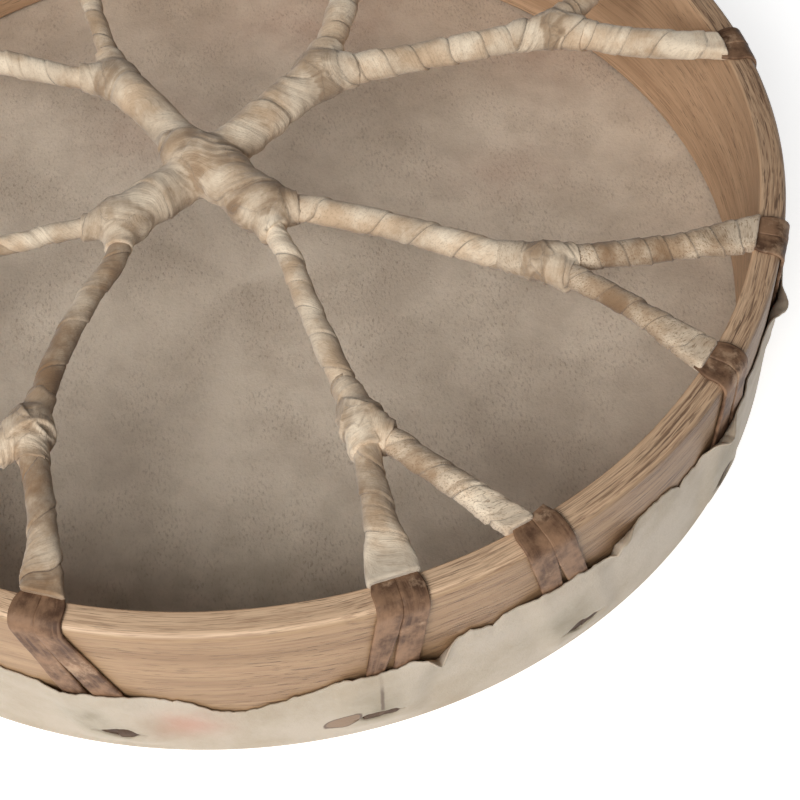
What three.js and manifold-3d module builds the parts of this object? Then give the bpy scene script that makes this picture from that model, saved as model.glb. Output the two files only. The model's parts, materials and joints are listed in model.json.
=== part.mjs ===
// A hand-made frame drum lying on its head, so that its open back and the hand web show.
// Millimetres and degrees, +Z up, the origin under the middle of the head.
import * as THREE from "three";
import { mergeVertices } from "three/addons/utils/BufferGeometryUtils.js";
import Module from "manifold-3d";

const wasm = await Module();
wasm.setup();

// Hoop of bent wood.
const hoopRadius = 225;
const hoopWall = 10.8;
const hoopDepth = 80;
const rimRounding = 4.2;
const footRounding = 3;
const hoopFacets = 64;
const roundingFacets = 2;

// Rawhide head, with its edge turned up over the outside of the hoop.
const skinThickness = 1.5;
const skinFacetsPerPass = 5;
const lapHeight = 45;
// Rises and drops of the torn edge are shares of its mean height.
const lapWaves = [
  { rise: 0.18, cycles: 1, crest: -55 },
  { rise: 0.09, cycles: 3, crest: -50 },
  { rise: 0.025, cycles: 11, crest: -20 },
];
const lapDip = { drop: 0.32, angle: -95, spread: 5 };

// Lacing: pairs of flat straps from slots in the turned-up edge, over the rim, into the web.
const lacePasses = 16;
const firstSlotAngle = -39.2;
const slotHeight = 17;
const slotWidth = 20;
const slotOpening = 6;
const strapWidth = 9.6;
const strapThickness = 1.4;
const strapLap = 0.9;
const strapSplay = 2.6;
const strapStagger = 0.2;
const strapTail = 5;

// Hand web: strips of soft leather wound round the gathered lacing.
const webDrop = 3.5;
const strandGirth = 10;
const hubPlace = { reach: 0.031, angle: 212 };
const hubGirth = 26;
const hubFlatShare = 0.78;
const primaryStub = 15;
const secondaryStub = 19;
const stubSleeve = 0.8;
const knotStretchShare = 1.25;
const knotFlatShare = 0.85;
const legEndWidth = 20.9;
const legEndThickness = 6.1;
const legEndShare = 0.42;
const legEndBend = 17;
const legEndRoundness = 0.6;
const legSetback = 1;
const limbSwellShare = 0.06;
const swellTurns = 9;
const limbSides = 8;
const bulgeRings = 4;

// Places in the web are shares of the hoop's inside radius, with the angle they lie at.
// Girths, bulges and knots are shares of the strand's girth.
const primaryForks = [
  { reach: 0.148, angle: -66.3, girth: 2.2, bulge: 2.3 },
  { reach: 0.308, angle: 45.2, girth: 1.65, bulge: 2 },
  { reach: 0.307, angle: 128.3, girth: 1.55, bulge: 1.8 },
  { reach: 0.262, angle: -150.5, girth: 1.85, bulge: 1.9 },
];
const arms = [
  { from: 0, girth: 1.1, reach: 0.66, angle: -33.8, knot: 1.6 },
  { from: 0, girth: 0.94, reach: 0.675, angle: -75.8, knot: 1.9 },
  { from: 1, girth: 1.22, reach: 0.734, angle: 20.2, knot: 1.6 },
  { from: 1, girth: 1.24, reach: 0.71, angle: 60, knot: 1.7 },
  { from: 2, girth: 0.86, reach: 0.694, angle: 111, knot: 1.7 },
  { from: 2, girth: 0.98, reach: 0.69, angle: 145, knot: 1.7 },
  { from: 3, girth: 0.78, reach: 0.7, angle: -164, knot: 1.7 },
  { from: 3, girth: 0.88, reach: 0.705, angle: -123.8, knot: 2.3 },
];
const legs = [
  { from: 0, girth: 0.98, angle: -38.6, pass: 0 },
  { from: 0, girth: 1.04, angle: -20.9, pass: 1 },
  { from: 2, girth: 1.22, angle: 7.9, pass: 2 },
  { from: 2, girth: 1.04, angle: 27, pass: 3 },
  { from: 3, girth: 1.02, angle: 53.6, pass: 4 },
  { from: 3, girth: 0.98, angle: 70.4, pass: 5 },
  { from: 4, girth: 0.96, angle: 98.6, pass: 6 },
  { from: 4, girth: 1.04, angle: 116.6, pass: 7 },
  { from: 5, girth: 0.98, angle: 142.4, pass: 8 },
  { from: 5, girth: 1.02, angle: 160.2, pass: 9 },
  { from: 6, girth: 0.96, angle: -171.6, pass: 10 },
  { from: 6, girth: 1, angle: -154.8, pass: 11 },
  { from: 7, girth: 0.94, angle: -130.3, pass: 12 },
  { from: 7, girth: 0.94, angle: -112.2, pass: 13 },
  { from: 1, girth: 1.07, angle: -79.8, pass: 14 },
  { from: 1, girth: 1.06, angle: -65.4, pass: 15 },
];

// Clearance between any two pieces that touch.
const fitGap = 0.3;

const insideRadius = hoopRadius - hoopWall;
const hoopFoot = skinThickness + fitGap;
const hoopTop = hoopFoot + hoopDepth;
const skinInside = hoopRadius + fitGap;
const skinOutside = skinInside + skinThickness;
const strapStandOff = strapThickness + strapStagger + fitGap;
const strapMiddle = hoopTop + fitGap + (strapThickness + strapStagger) / 2;
const passAngle = 360 / lacePasses;
const up = new THREE.Vector3(0, 0, 1);

const wood = new THREE.MeshStandardMaterial({ color: 0xb99671, roughness: 0.62, metalness: 0 });
const rawhide = new THREE.MeshStandardMaterial({ color: 0xc8bca5, roughness: 0.6, metalness: 0 });
const lace = new THREE.MeshStandardMaterial({ color: 0x5a4637, roughness: 0.5, metalness: 0 });
const buckskin = new THREE.MeshStandardMaterial({ color: 0xc4b090, roughness: 0.85, metalness: 0 });

const radians = THREE.MathUtils.degToRad;

function around(radius, angle, height) {
  return new THREE.Vector3(radius * Math.cos(radians(angle)), radius * Math.sin(radians(angle)), height);
}

function angleBetween(angle, other) {
  return ((((angle - other) % 360) + 540) % 360) - 180;
}

function isInsideOut(position, index) {
  const corner = [new THREE.Vector3(), new THREE.Vector3(), new THREE.Vector3()];
  let volume = 0;
  for (let i = 0; i < index.count; i += 3) {
    corner.forEach((point, k) => point.fromBufferAttribute(position, index.getX(i + k)));
    volume += corner[0].dot(corner[1].clone().cross(corner[2]));
  }
  return volume < 0;
}

// Joins the edges of a stock geometry, so that moving its points can't open it.
function welded(geometry) {
  geometry.deleteAttribute("normal");
  geometry.deleteAttribute("uv");
  return mergeVertices(geometry, 1e-4);
}

// Turns a closed, welded geometry into a solid that can be joined and cut.
function solidOf(merged) {
  const flip = isInsideOut(merged.attributes.position, merged.index);
  const triangles = [];
  for (let i = 0; i < merged.index.count; i += 3) {
    const [a, b, c] = [0, 1, 2].map((k) => merged.index.getX(i + k));
    if (a !== b && b !== c && c !== a) {
      triangles.push(a, ...(flip ? [c, b] : [b, c]));
    }
  }
  return new wasm.Manifold(new wasm.Mesh({
    numProp: 3,
    vertProperties: new Float32Array(merged.attributes.position.array),
    triVerts: new Uint32Array(triangles),
  }));
}

function meshOf(name, solid, material) {
  const { vertProperties, triVerts } = solid.getMesh();
  const geometry = new THREE.BufferGeometry();
  geometry.setAttribute("position", new THREE.BufferAttribute(vertProperties, 3));
  geometry.setIndex(new THREE.BufferAttribute(triVerts, 1));
  geometry.computeVertexNormals();
  const mesh = new THREE.Mesh(geometry, material);
  mesh.name = name;
  return mesh;
}

function joined(solids) {
  return solids.reduce((whole, solid) => whole.add(solid));
}

function cutBy(solid, cutters) {
  return cutters.reduce((rest, cutter) => rest.subtract(cutter), solid);
}

// Corner points of a rounded edge, from one direction of its normal to another.
function roundedEdge(radius, height, rounding, from, to) {
  const points = [];
  for (let i = 0; i <= roundingFacets; i += 1) {
    const turn = from + ((to - from) * i) / roundingFacets;
    const normal = new THREE.Vector2(Math.cos(radians(turn)), Math.sin(radians(turn)));
    points.push(new THREE.Vector2(radius, height).addScaledVector(normal, rounding));
  }
  return points;
}

function turnedAbout(profile, facets) {
  const geometry = welded(new THREE.LatheGeometry(profile, facets));
  geometry.rotateX(Math.PI / 2);
  return geometry;
}

function hoopSolid(clearance) {
  const outerEdge = hoopRadius - rimRounding;
  const innerEdge = insideRadius + rimRounding;
  const rimCentre = hoopTop - rimRounding;
  const foot = hoopFoot - clearance;
  const profile = [
    new THREE.Vector2(insideRadius - clearance, foot),
    new THREE.Vector2(hoopRadius - footRounding, foot),
    new THREE.Vector2(hoopRadius + clearance, hoopFoot + footRounding),
    ...roundedEdge(outerEdge, rimCentre, rimRounding + clearance, 0, 90),
    ...roundedEdge(innerEdge, rimCentre, rimRounding + clearance, 90, 180),
  ];
  return solidOf(turnedAbout([...profile, profile[0]], hoopFacets));
}

// Height of the skin's torn upper edge at an angle round the hoop.
function lapTopAt(angle) {
  const waves = lapWaves.map(({ rise, cycles, crest }) => rise * Math.cos(radians(cycles * (angle - crest))));
  const fromDip = angleBetween(angle, lapDip.angle) / lapDip.spread;
  const dip = lapDip.drop * Math.exp(-fromDip * fromDip);
  return lapHeight * (1 + waves.reduce((sum, wave) => sum + wave, 0) - dip);
}

// How far the skin stands off the hoop where it runs over a pair of straps.
function lapLiftAt(angle) {
  const fromSlot = Math.abs(angleBetween(angle, firstSlotAngle)) % passAngle;
  const nearest = Math.min(fromSlot, passAngle - fromSlot);
  const facet = passAngle / skinFacetsPerPass;
  return THREE.MathUtils.clamp(2 - nearest / facet, 0, 1) * strapStandOff;
}

function lensShape(width, opening) {
  const shape = new THREE.Shape();
  shape.moveTo(-width / 2, 0);
  shape.quadraticCurveTo(0, -opening, width / 2, 0);
  shape.quadraticCurveTo(0, opening, -width / 2, 0);
  return shape;
}

function slotCutter(angle) {
  const reach = 2 * (skinThickness + strapStandOff);
  const geometry = welded(new THREE.ExtrudeGeometry(lensShape(slotWidth, slotOpening), {
    depth: 2 * reach,
    curveSegments: 3,
    bevelEnabled: false,
  }));
  geometry.rotateX(Math.PI / 2);
  geometry.rotateZ(radians(angle) + Math.PI / 2);
  const place = around(skinInside - reach, angle, slotHeight);
  geometry.translate(place.x, place.y, place.z);
  return solidOf(geometry);
}

function drumSkinSolid() {
  const bend = footRounding + skinThickness;
  const shoulder = (slotHeight - slotOpening / 2 + bend) / 2;
  const profile = [
    new THREE.Vector2(0, 0),
    ...roundedEdge(skinOutside - bend, bend, bend, 270, 360),
    new THREE.Vector2(skinOutside, shoulder),
    new THREE.Vector2(skinOutside, lapHeight),
    new THREE.Vector2(skinInside, lapHeight),
    new THREE.Vector2(skinInside, shoulder),
    new THREE.Vector2(skinInside, bend),
    new THREE.Vector2(skinInside - footRounding, skinThickness),
    new THREE.Vector2(0, skinThickness),
  ];
  const geometry = turnedAbout(profile, lacePasses * skinFacetsPerPass);
  geometry.rotateZ(radians(firstSlotAngle));
  const position = geometry.attributes.position;
  for (let i = 0; i < position.count; i += 1) {
    const [x, y, z] = [position.getX(i), position.getY(i), position.getZ(i)];
    const angle = THREE.MathUtils.radToDeg(Math.atan2(y, x));
    const onEdge = z > lapHeight - fitGap;
    const lifted = z > bend + fitGap;
    const stretch = 1 + (lifted ? lapLiftAt(angle) : 0) / Math.hypot(x, y);
    if (lifted) {
      position.setXYZ(i, x * stretch, y * stretch, onEdge ? lapTopAt(angle) : z);
    }
  }
  const slots = Array.from({ length: lacePasses }, (_, k) => slotCutter(firstSlotAngle + k * passAngle));
  return cutBy(solidOf(geometry), slots);
}

// One flat strap: a bar whose rings are laid on the wood along the strap's route.
function strapSolid(leg, side) {
  const slotAngle = firstSlotAngle + leg.pass * passAngle;
  const turnToSlot = angleBetween(slotAngle, leg.angle);
  const wallLength = hoopTop - rimRounding - slotHeight;
  const edge = roundedEdge(hoopRadius - rimRounding, hoopTop - rimRounding, rimRounding, 90, 0);
  const rings = [
    { radius: insideRadius - legSetback + fitGap, height: hoopTop, normal: 90, along: 0, splay: 0 },
    ...edge.map((point, i) => ({
      radius: point.x,
      height: point.y,
      normal: 90 - (90 * i) / roundingFacets,
      along: 0.1 * i,
      splay: 0.5,
    })),
    { radius: hoopRadius, height: slotHeight + wallLength / 2, normal: 0, along: 0.7, splay: 1 },
    { radius: hoopRadius, height: slotHeight - strapTail, normal: 0, along: 1, splay: -1 },
  ];
  const geometry = welded(new THREE.BoxGeometry(1, 1, 1, 1, 1, rings.length - 1));
  const position = geometry.attributes.position;
  const under = fitGap + (side > 0 ? strapStagger : 0);
  for (let i = 0; i < position.count; i += 1) {
    const ring = rings[Math.round((0.5 - position.getZ(i)) * (rings.length - 1))];
    const aside = (side * (strapWidth - strapLap + strapSplay * ring.splay)) / 2;
    const middle = leg.angle + turnToSlot * ring.along + THREE.MathUtils.radToDeg(aside / ring.radius);
    const across = position.getX(i) * strapWidth;
    const lift = under + (position.getY(i) + 0.5) * strapThickness;
    const radius = ring.radius + lift * Math.cos(radians(ring.normal));
    const height = ring.height + lift * Math.sin(radians(ring.normal));
    const point = around(radius, middle, height).addScaledVector(around(1, middle + 90, 0), across);
    position.setXYZ(i, point.x, point.y, point.z);
  }
  return solidOf(geometry);
}

function lacePairSolid(leg) {
  return strapSolid(leg, -1).add(strapSolid(leg, 1));
}

// A wound limb: a cylinder whose rings are moved onto a curve and given its section there.
function limbSolid(points, sectionAt, steps) {
  const curve = new THREE.CatmullRomCurve3(points);
  const geometry = welded(new THREE.CylinderGeometry(1, 1, 1, limbSides, steps));
  const position = geometry.attributes.position;
  for (let i = 0; i < position.count; i += 1) {
    const along = THREE.MathUtils.clamp(0.5 - position.getY(i), 0, 1);
    const section = sectionAt(along);
    const tangent = curve.getTangentAt(along);
    const across = new THREE.Vector3().crossVectors(up, tangent).normalize();
    const over = new THREE.Vector3().crossVectors(tangent, across);
    const squared = (value) => Math.sign(value) * Math.abs(value) ** section.roundness;
    const point = curve.getPointAt(along)
      .addScaledVector(across, squared(position.getX(i)) * section.width)
      .addScaledVector(over, squared(position.getZ(i)) * section.height);
    position.setXYZ(i, point.x, point.y, point.z);
  }
  return solidOf(geometry);
}

function webHeight(radius) {
  return THREE.MathUtils.lerp(hoopTop - webDrop, strapMiddle, radius / insideRadius);
}

function webPlace({ reach, angle }) {
  return around(reach * insideRadius, angle, webHeight(reach * insideRadius));
}

function towards(start, end, distance) {
  return start.clone().addScaledVector(end.clone().sub(start).normalize(), distance);
}

// A round section that swells and shrinks a little along a limb, from its girth share.
function roundSection(girth) {
  return (along) => {
    const swell = Math.sin((along + girth) * swellTurns);
    const half = (girth * strandGirth * (1 + limbSwellShare * swell)) / 2;
    return { width: half, height: half, roundness: 1 };
  };
}

function bulgeSolid(centre, heading, width, stretch, flatness) {
  const geometry = welded(new THREE.SphereGeometry(width / 2, limbSides, bulgeRings));
  geometry.rotateZ(Math.PI / 2);
  geometry.scale(stretch, 1, flatness);
  geometry.rotateZ(Math.atan2(heading.y, heading.x));
  geometry.translate(centre.x, centre.y, centre.z);
  return solidOf(geometry);
}

// A short sleeve of wrapping round the root of a thinner limb, which starts at its end.
function stubSolid(start, end, girth, length) {
  const sleeved = girth + (2 * stubSleeve) / strandGirth;
  return limbSolid([start, towards(start, end, length)], roundSection(sleeved), 1);
}

function armEnds(arm) {
  return { root: webPlace(primaryForks[arm.from]), knot: webPlace(arm) };
}

function legEnds(leg) {
  const end = around(insideRadius - legSetback, leg.angle, strapMiddle);
  return { knot: webPlace(arms[leg.from]), end };
}

// A leg grows from a round strand into a flat, squared end against its two straps.
function legSolid(leg) {
  const { knot, end } = legEnds(leg);
  const start = towards(knot, end, secondaryStub + fitGap);
  const inner = around(insideRadius - legSetback - legEndWidth, leg.angle, strapMiddle);
  const bend = towards(end, inner.clone().lerp(start, 0.5), legEndBend);
  const setOff = towards(start, end, (leg.girth * strandGirth) / 2);
  const strand = roundSection(leg.girth);
  const section = (along) => {
    const flat = THREE.MathUtils.smoothstep(along, 1 - legEndShare, 1);
    const { width } = strand(along);
    return {
      width: THREE.MathUtils.lerp(width, legEndWidth / 2, flat),
      height: THREE.MathUtils.lerp(width, legEndThickness / 2, flat),
      roundness: THREE.MathUtils.lerp(1, legEndRoundness, flat),
    };
  };
  const squareOn = towards(end, inner, strapThickness);
  return limbSolid([start, setOff, bend, squareOn, end], section, 4);
}

function hubSolid() {
  const hub = webPlace(hubPlace);
  const centre = bulgeSolid(hub, webPlace(primaryForks[0]).sub(hub), hubGirth, 1, hubFlatShare);
  const mainArms = primaryForks.flatMap((fork) => {
    const end = webPlace(fork);
    return [
      limbSolid([hub, end], roundSection(fork.girth), 2),
      bulgeSolid(end, end.clone().sub(hub), fork.bulge * strandGirth, 1, hubFlatShare),
    ];
  });
  const stubs = arms.map((arm) => {
    const { root, knot } = armEnds(arm);
    return stubSolid(root, knot, arm.girth, primaryStub);
  });
  return joined([centre, ...mainArms, ...stubs]);
}

function armSolid(arm, k) {
  const { root, knot } = armEnds(arm);
  const start = towards(root, knot, primaryStub + fitGap);
  const stubs = legs
    .filter((leg) => leg.from === k)
    .map((leg) => stubSolid(knot, legEnds(leg).end, leg.girth, secondaryStub));
  const heading = knot.clone().sub(root);
  const bulge = bulgeSolid(knot, heading, arm.knot * strandGirth, knotStretchShare, knotFlatShare);
  return joined([limbSolid([start, knot], roundSection(arm.girth), 3), bulge, ...stubs]);
}

const hoopCutter = hoopSolid(fitGap);

const drum = new THREE.Group();
drum.add(meshOf("hoop", hoopSolid(0), wood));
drum.add(meshOf("drum_skin", drumSkinSolid(), rawhide));
drum.add(meshOf("hub_wrap", hubSolid(), buckskin));
arms.forEach((arm, k) => {
  drum.add(meshOf(`arm_wrap_${k + 1}`, armSolid(arm, k), buckskin));
});
legs.forEach((leg) => {
  const number = String(leg.pass + 1).padStart(2, "0");
  drum.add(meshOf(`leg_wrap_${number}`, cutBy(legSolid(leg), [hoopCutter]), buckskin));
  drum.add(meshOf(`rim_lace_${number}`, lacePairSolid(leg), lace));
});

export default drum;
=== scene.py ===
"""A hand-made frame drum that lies on its head: hoop, rawhide head, lacing and wound hand web."""

import itertools
import json
import logging
import math
from dataclasses import dataclass, field
from enum import Enum

import bmesh
import bpy
import numpy as np
from bpy.types import Material, Mesh, Node, NodeSocket, NodeTree, Object
from mathutils import Matrix, Vector

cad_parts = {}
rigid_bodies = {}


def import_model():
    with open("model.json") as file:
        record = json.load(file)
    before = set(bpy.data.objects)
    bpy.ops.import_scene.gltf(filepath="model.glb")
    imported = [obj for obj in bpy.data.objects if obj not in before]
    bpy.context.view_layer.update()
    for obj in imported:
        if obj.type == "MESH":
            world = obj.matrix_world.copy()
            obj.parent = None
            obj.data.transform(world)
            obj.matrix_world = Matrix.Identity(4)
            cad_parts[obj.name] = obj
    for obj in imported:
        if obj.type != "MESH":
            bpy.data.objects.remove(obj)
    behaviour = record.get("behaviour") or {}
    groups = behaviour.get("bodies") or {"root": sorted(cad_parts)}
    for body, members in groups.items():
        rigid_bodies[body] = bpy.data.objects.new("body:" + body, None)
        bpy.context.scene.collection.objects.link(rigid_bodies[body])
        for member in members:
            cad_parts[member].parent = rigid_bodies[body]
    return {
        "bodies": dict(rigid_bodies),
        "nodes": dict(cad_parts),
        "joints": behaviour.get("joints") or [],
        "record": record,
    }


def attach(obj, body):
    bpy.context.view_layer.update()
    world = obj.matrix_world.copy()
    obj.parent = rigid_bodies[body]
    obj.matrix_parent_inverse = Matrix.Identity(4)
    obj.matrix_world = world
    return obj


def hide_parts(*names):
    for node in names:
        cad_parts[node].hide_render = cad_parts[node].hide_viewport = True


LOG = logging.getLogger("frame_drum")
BODY = "root"
MM = 0.001
TURN = 2 * math.pi

Colour = tuple[float, float, float]
Rows = np.ndarray

# Sizes shared by the pieces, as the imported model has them.
HOOP_RADIUS = 225 * MM
HOOP_WALL = 10.8 * MM
HOOP_DEPTH = 80 * MM
RIM_ROUNDING = 4.2 * MM
FOOT_ROUNDING = 3 * MM
SKIN_THICKNESS = 1.5 * MM
FIT_GAP = 0.3 * MM
INSIDE_RADIUS = HOOP_RADIUS - HOOP_WALL
HOOP_FOOT = SKIN_THICKNESS + FIT_GAP
HOOP_TOP = HOOP_FOOT + HOOP_DEPTH
SKIN_OUTSIDE = HOOP_RADIUS + FIT_GAP + SKIN_THICKNESS
STRAP_WIDTH = 9.6 * MM
STRAP_THICKNESS = 1.4 * MM
STRAP_MIDDLE = HOOP_TOP + FIT_GAP + 0.8 * MM
SLOT_HEIGHT = 17 * MM
FIRST_SLOT_ANGLE = -39.2
PASS_ANGLE = 22.5

# How far the web's middle hangs under the hoop's top, and the level and the eye that its places,
# in millimetres and degrees, were sighted with.
WEB_DROP = 3.5 * MM
SIGHT_LEVEL = 79 * MM
CAMERA_PLACE = (0.0, -0.541708, 0.624473)

# Whole numbers that scramble the corners of the noise lattice.
NOISE_STRIDES = (374761393, 668265263, 1442695041)
NOISE_STIRS = ((13, 1274126177), (15, 2246822519))
NOISE_WORD = 0xFFFFFFFF

UP = (0.0, 0.0, 1.0)
TINY = 1e-12
PATH_STEPS = 40
STUB_FLARE = 1.15


def srgb(red: int, green: int, blue: int) -> Colour:
    """Linear colour of a screen colour given in steps from 0 to 255."""
    shares = [channel / 255 for channel in (red, green, blue)]
    return tuple(s / 12.92 if s <= 0.04045 else ((s + 0.055) / 1.055) ** 2.4 for s in shares)


def around(radius: float, angle: float, height: float) -> Rows:
    """Point at a radius in metres, an angle in degrees and a height."""
    turn = math.radians(angle)
    return np.array([radius * math.cos(turn), radius * math.sin(turn), height])


def angle_between(angle: Rows | float, other: Rows | float) -> Rows | float:
    """Signed difference of two angles in degrees, from -180 to 180."""
    return (angle - other + 180) % 360 - 180


def smooth_rise(low: float, high: float, value: Rows) -> Rows:
    """Rises smoothly from 0 at low to 1 at high."""
    share = np.clip((value - low) / (high - low), 0, 1)
    return share * share * (3 - 2 * share)


def bell(distance: Rows, spread: float) -> Rows:
    """Bell curve that is 1 at distance 0."""
    return np.exp(-((distance / spread) ** 2))


def web_height(radius: float) -> float:
    """Height of the middle of the web at a distance from the drum's middle."""
    share = radius / INSIDE_RADIUS
    return (HOOP_TOP - WEB_DROP) * (1 - share) + STRAP_MIDDLE * share


def web_place(radius_mm: float, angle: float) -> Rows:
    """Point in the web that the photograph shows at a place on the level of sighting.

    Args:
        radius_mm: Radius in millimetres at the level of sighting.
        angle: Angle there in degrees.

    Returns:
        The point on the same line of sight at the web's own height.
    """
    sighted = around(radius_mm * MM, angle, SIGHT_LEVEL)
    eye = np.array(CAMERA_PLACE)
    share = (web_height(radius_mm * MM) - SIGHT_LEVEL) / (eye[2] - SIGHT_LEVEL)
    return sighted + (eye - sighted) * share


def rim_angle(radius_mm: float, angle: float) -> float:
    """Angle of a sighted point of the web's rim, in degrees."""
    place = web_place(radius_mm, angle)
    return math.degrees(math.atan2(place[1], place[0]))


def lattice_noise(points: Rows, seed: int) -> Rows:
    """Smooth random field from -1 to 1 with one cell to each unit.

    Args:
        points: Rows of x, y, z.
        seed: Number that picks the field.

    Returns:
        One value for each row.
    """
    cell = np.floor(points).astype(np.int64)
    part = points - cell
    part = part * part * part * (part * (part * 6 - 15) + 10)
    total = np.zeros(len(points))
    for corner in itertools.product((0, 1), repeat=3):
        key = (cell + corner) @ np.array(NOISE_STRIDES) + seed * NOISE_STIRS[0][1]
        for shift, factor in NOISE_STIRS:
            key = ((key ^ (key >> shift)) * factor) & NOISE_WORD
        value = (key >> 8) / float(1 << 23) - 1
        total += value * np.prod(np.where(corner, part, 1 - part), axis=1)
    return total


def layered_noise(points: Rows, octaves: int, seed: int) -> Rows:
    """Lattice noise with finer and weaker layers added to it."""
    total = np.zeros(len(points))
    for octave in range(octaves):
        total += lattice_noise(points * 2**octave, seed + octave) / 2**octave
    return total


def columns(*parts: Rows | float) -> Rows:
    """Rows from their columns; a plain number fills its column."""
    return np.stack(np.broadcast_arrays(*parts), axis=1)


def ring_points(turn: Rows, radius: Rows | float, height: Rows | float) -> Rows:
    """Points at angles in radians, with their radii and heights."""
    return columns(np.cos(turn) * radius, np.sin(turn) * radius, height)


def run_along(points: Rows) -> Rows:
    """Length run along a path at each of its points."""
    return np.concatenate([[0], np.cumsum(np.linalg.norm(np.diff(points, axis=0), axis=1))])


def smooth_path(places: list[Rows], spacing: float) -> Rows:
    """Even points on a smooth curve through some places.

    Args:
        places: The places, in order.
        spacing: Distance between two points of the result, about.

    Returns:
        Rows of points, the first and the last of them the first and last place.
    """
    knots = np.array(places)
    gaps = np.sqrt(np.linalg.norm(np.diff(knots, axis=0), axis=1))
    slopes = np.diff(knots, axis=0) / gaps[:, None]
    before, after = gaps[:-1, None], gaps[1:, None]
    inner = (slopes[:-1] * after + slopes[1:] * before) / (before + after)
    tangents = np.vstack([slopes[:1], inner, slopes[-1:]])
    step = np.linspace(0, 1, PATH_STEPS, endpoint=False)[:, None]
    pieces = []
    for start, end, leave, arrive, gap in zip(knots, knots[1:], tangents, tangents[1:], gaps):
        pieces.append((2 * step**3 - 3 * step**2 + 1) * start + (3 * step**2 - 2 * step**3) * end
                      + gap * ((step**3 - 2 * step**2 + step) * leave + (step**3 - step**2) * arrive))
    dense = np.vstack([*pieces, knots[-1:]])
    run = run_along(dense)
    even = np.linspace(0, run[-1], max(4, round(run[-1] / spacing)))
    return columns(*(np.interp(even, run, dense[:, axis]) for axis in range(3)))


def unit(rows: Rows) -> Rows:
    """A vector, or each row of several, scaled to length 1."""
    return rows / np.maximum(np.linalg.norm(rows, axis=-1, keepdims=True), TINY)


def loft_faces(rings: int, sides: int) -> list[tuple[int, int, int, int]]:
    """Quads of a closed tube of rings, each with the same number of points."""
    return [
        (low + here, low + beside, low + sides + beside, low + sides + here)
        for low in range(0, (rings - 1) * sides, sides)
        for here, beside in ((j, (j + 1) % sides) for j in range(sides))
    ]


class Marks(Enum):
    """Named values that the meshes carry for their materials."""

    LAP = "lap"
    LIMB = "limb"
    TONE = "tone"
    # Blush, moss and the inside's share; the moss channel also carries painted shade on the head.
    STAIN_AND_SHADE = "stain"
    # Painted shade in the wraps' hollows.
    FOLD = "fold"
    FACING = "facing"
    ORDER = "order"


def set_mark(mesh: Mesh, mark: Marks, rows: Rows) -> None:
    """Stores one vector for each vertex under the mark's name."""
    layer = mesh.attributes.new(mark.value, "FLOAT_VECTOR", "POINT")
    layer.data.foreach_set("vector", np.ascontiguousarray(rows, np.float32).ravel())


def vectors(items: bpy.types.bpy_prop_collection, name: str) -> Rows:
    """Reads one vector from each item of a mesh, as rows."""
    rows = np.empty(len(items) * 3, np.float32)
    items.foreach_get(name, rows)
    return rows.reshape(-1, 3).astype(float)


def mesh_points(mesh: Mesh) -> Rows:
    """Places of the mesh's vertices as rows."""
    return vectors(mesh.vertices, "co")


def set_points(mesh: Mesh, rows: Rows) -> None:
    """Moves the mesh's vertices to these places."""
    mesh.vertices.foreach_set("co", np.ascontiguousarray(rows, np.float32).ravel())
    mesh.update()


def shade_smooth(mesh: Mesh) -> None:
    """Shades all faces smoothly."""
    mesh.polygons.foreach_set("use_smooth", [True] * len(mesh.polygons))


def finished(mesh: Mesh, finish: Material) -> Mesh:
    """The mesh, shaded smoothly and with its one material."""
    mesh.materials.clear()
    mesh.materials.append(finish)
    shade_smooth(mesh)
    return mesh


def mesh_of(name: str, points: Rows, faces: list[tuple[int, ...]]) -> Mesh:
    """New smooth-shaded mesh from points and faces."""
    mesh = bpy.data.meshes.new(name)
    mesh.from_pydata([tuple(row) for row in points], [], faces)
    shade_smooth(mesh)
    mesh.update()
    return mesh


def face_outwards(mesh: Mesh) -> None:
    """Turns all faces round if the closed mesh is inside out."""
    sheet = bmesh.new()
    sheet.from_mesh(mesh)
    if sheet.calc_volume(signed=True) < 0:
        bmesh.ops.reverse_faces(sheet, faces=sheet.faces)
        sheet.to_mesh(mesh)
    sheet.free()
    mesh.update()


def linked(name: str, mesh: Mesh) -> Object:
    """New object with this mesh, in the scene."""
    piece = bpy.data.objects.new(name, mesh)
    bpy.context.scene.collection.objects.link(piece)
    return piece


def discard(piece: Object) -> None:
    """Removes an object and its mesh."""
    raw = piece.data
    bpy.data.objects.remove(piece)
    bpy.data.meshes.remove(raw)


def settled(piece: Object) -> Mesh:
    """The piece's mesh with its modifiers in it; the object itself is removed."""
    graph = bpy.context.evaluated_depsgraph_get()
    mesh = bpy.data.meshes.new_from_object(piece.evaluated_get(graph), depsgraph=graph)
    discard(piece)
    return mesh


def joined(meshes: list[Mesh], name: str) -> Mesh:
    """One mesh from several, with the marks that they carry; the parts are removed."""
    whole = bmesh.new()
    for mesh in meshes:
        whole.from_mesh(mesh)
    result = bpy.data.meshes.new(name)
    whole.to_mesh(result)
    whole.free()
    for mesh in meshes:
        bpy.data.meshes.remove(mesh)
    return result


@dataclass
class Value:
    """A number in a node tree, worked with like a plain number."""

    sketch: "Sketch"
    socket: NodeSocket

    def __add__(self, other: "Value | float") -> "Value":
        """Sum of the two."""
        return self.sketch.calculate("ADD", self, other)

    def __sub__(self, other: "Value | float") -> "Value":
        """This less the other."""
        return self.sketch.calculate("SUBTRACT", self, other)

    def __mul__(self, other: "Value | float") -> "Value":
        """Product of the two."""
        return self.sketch.calculate("MULTIPLY", self, other)

    def __truediv__(self, other: "Value | float") -> "Value":
        """This divided by the other."""
        return self.sketch.calculate("DIVIDE", self, other)


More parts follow.
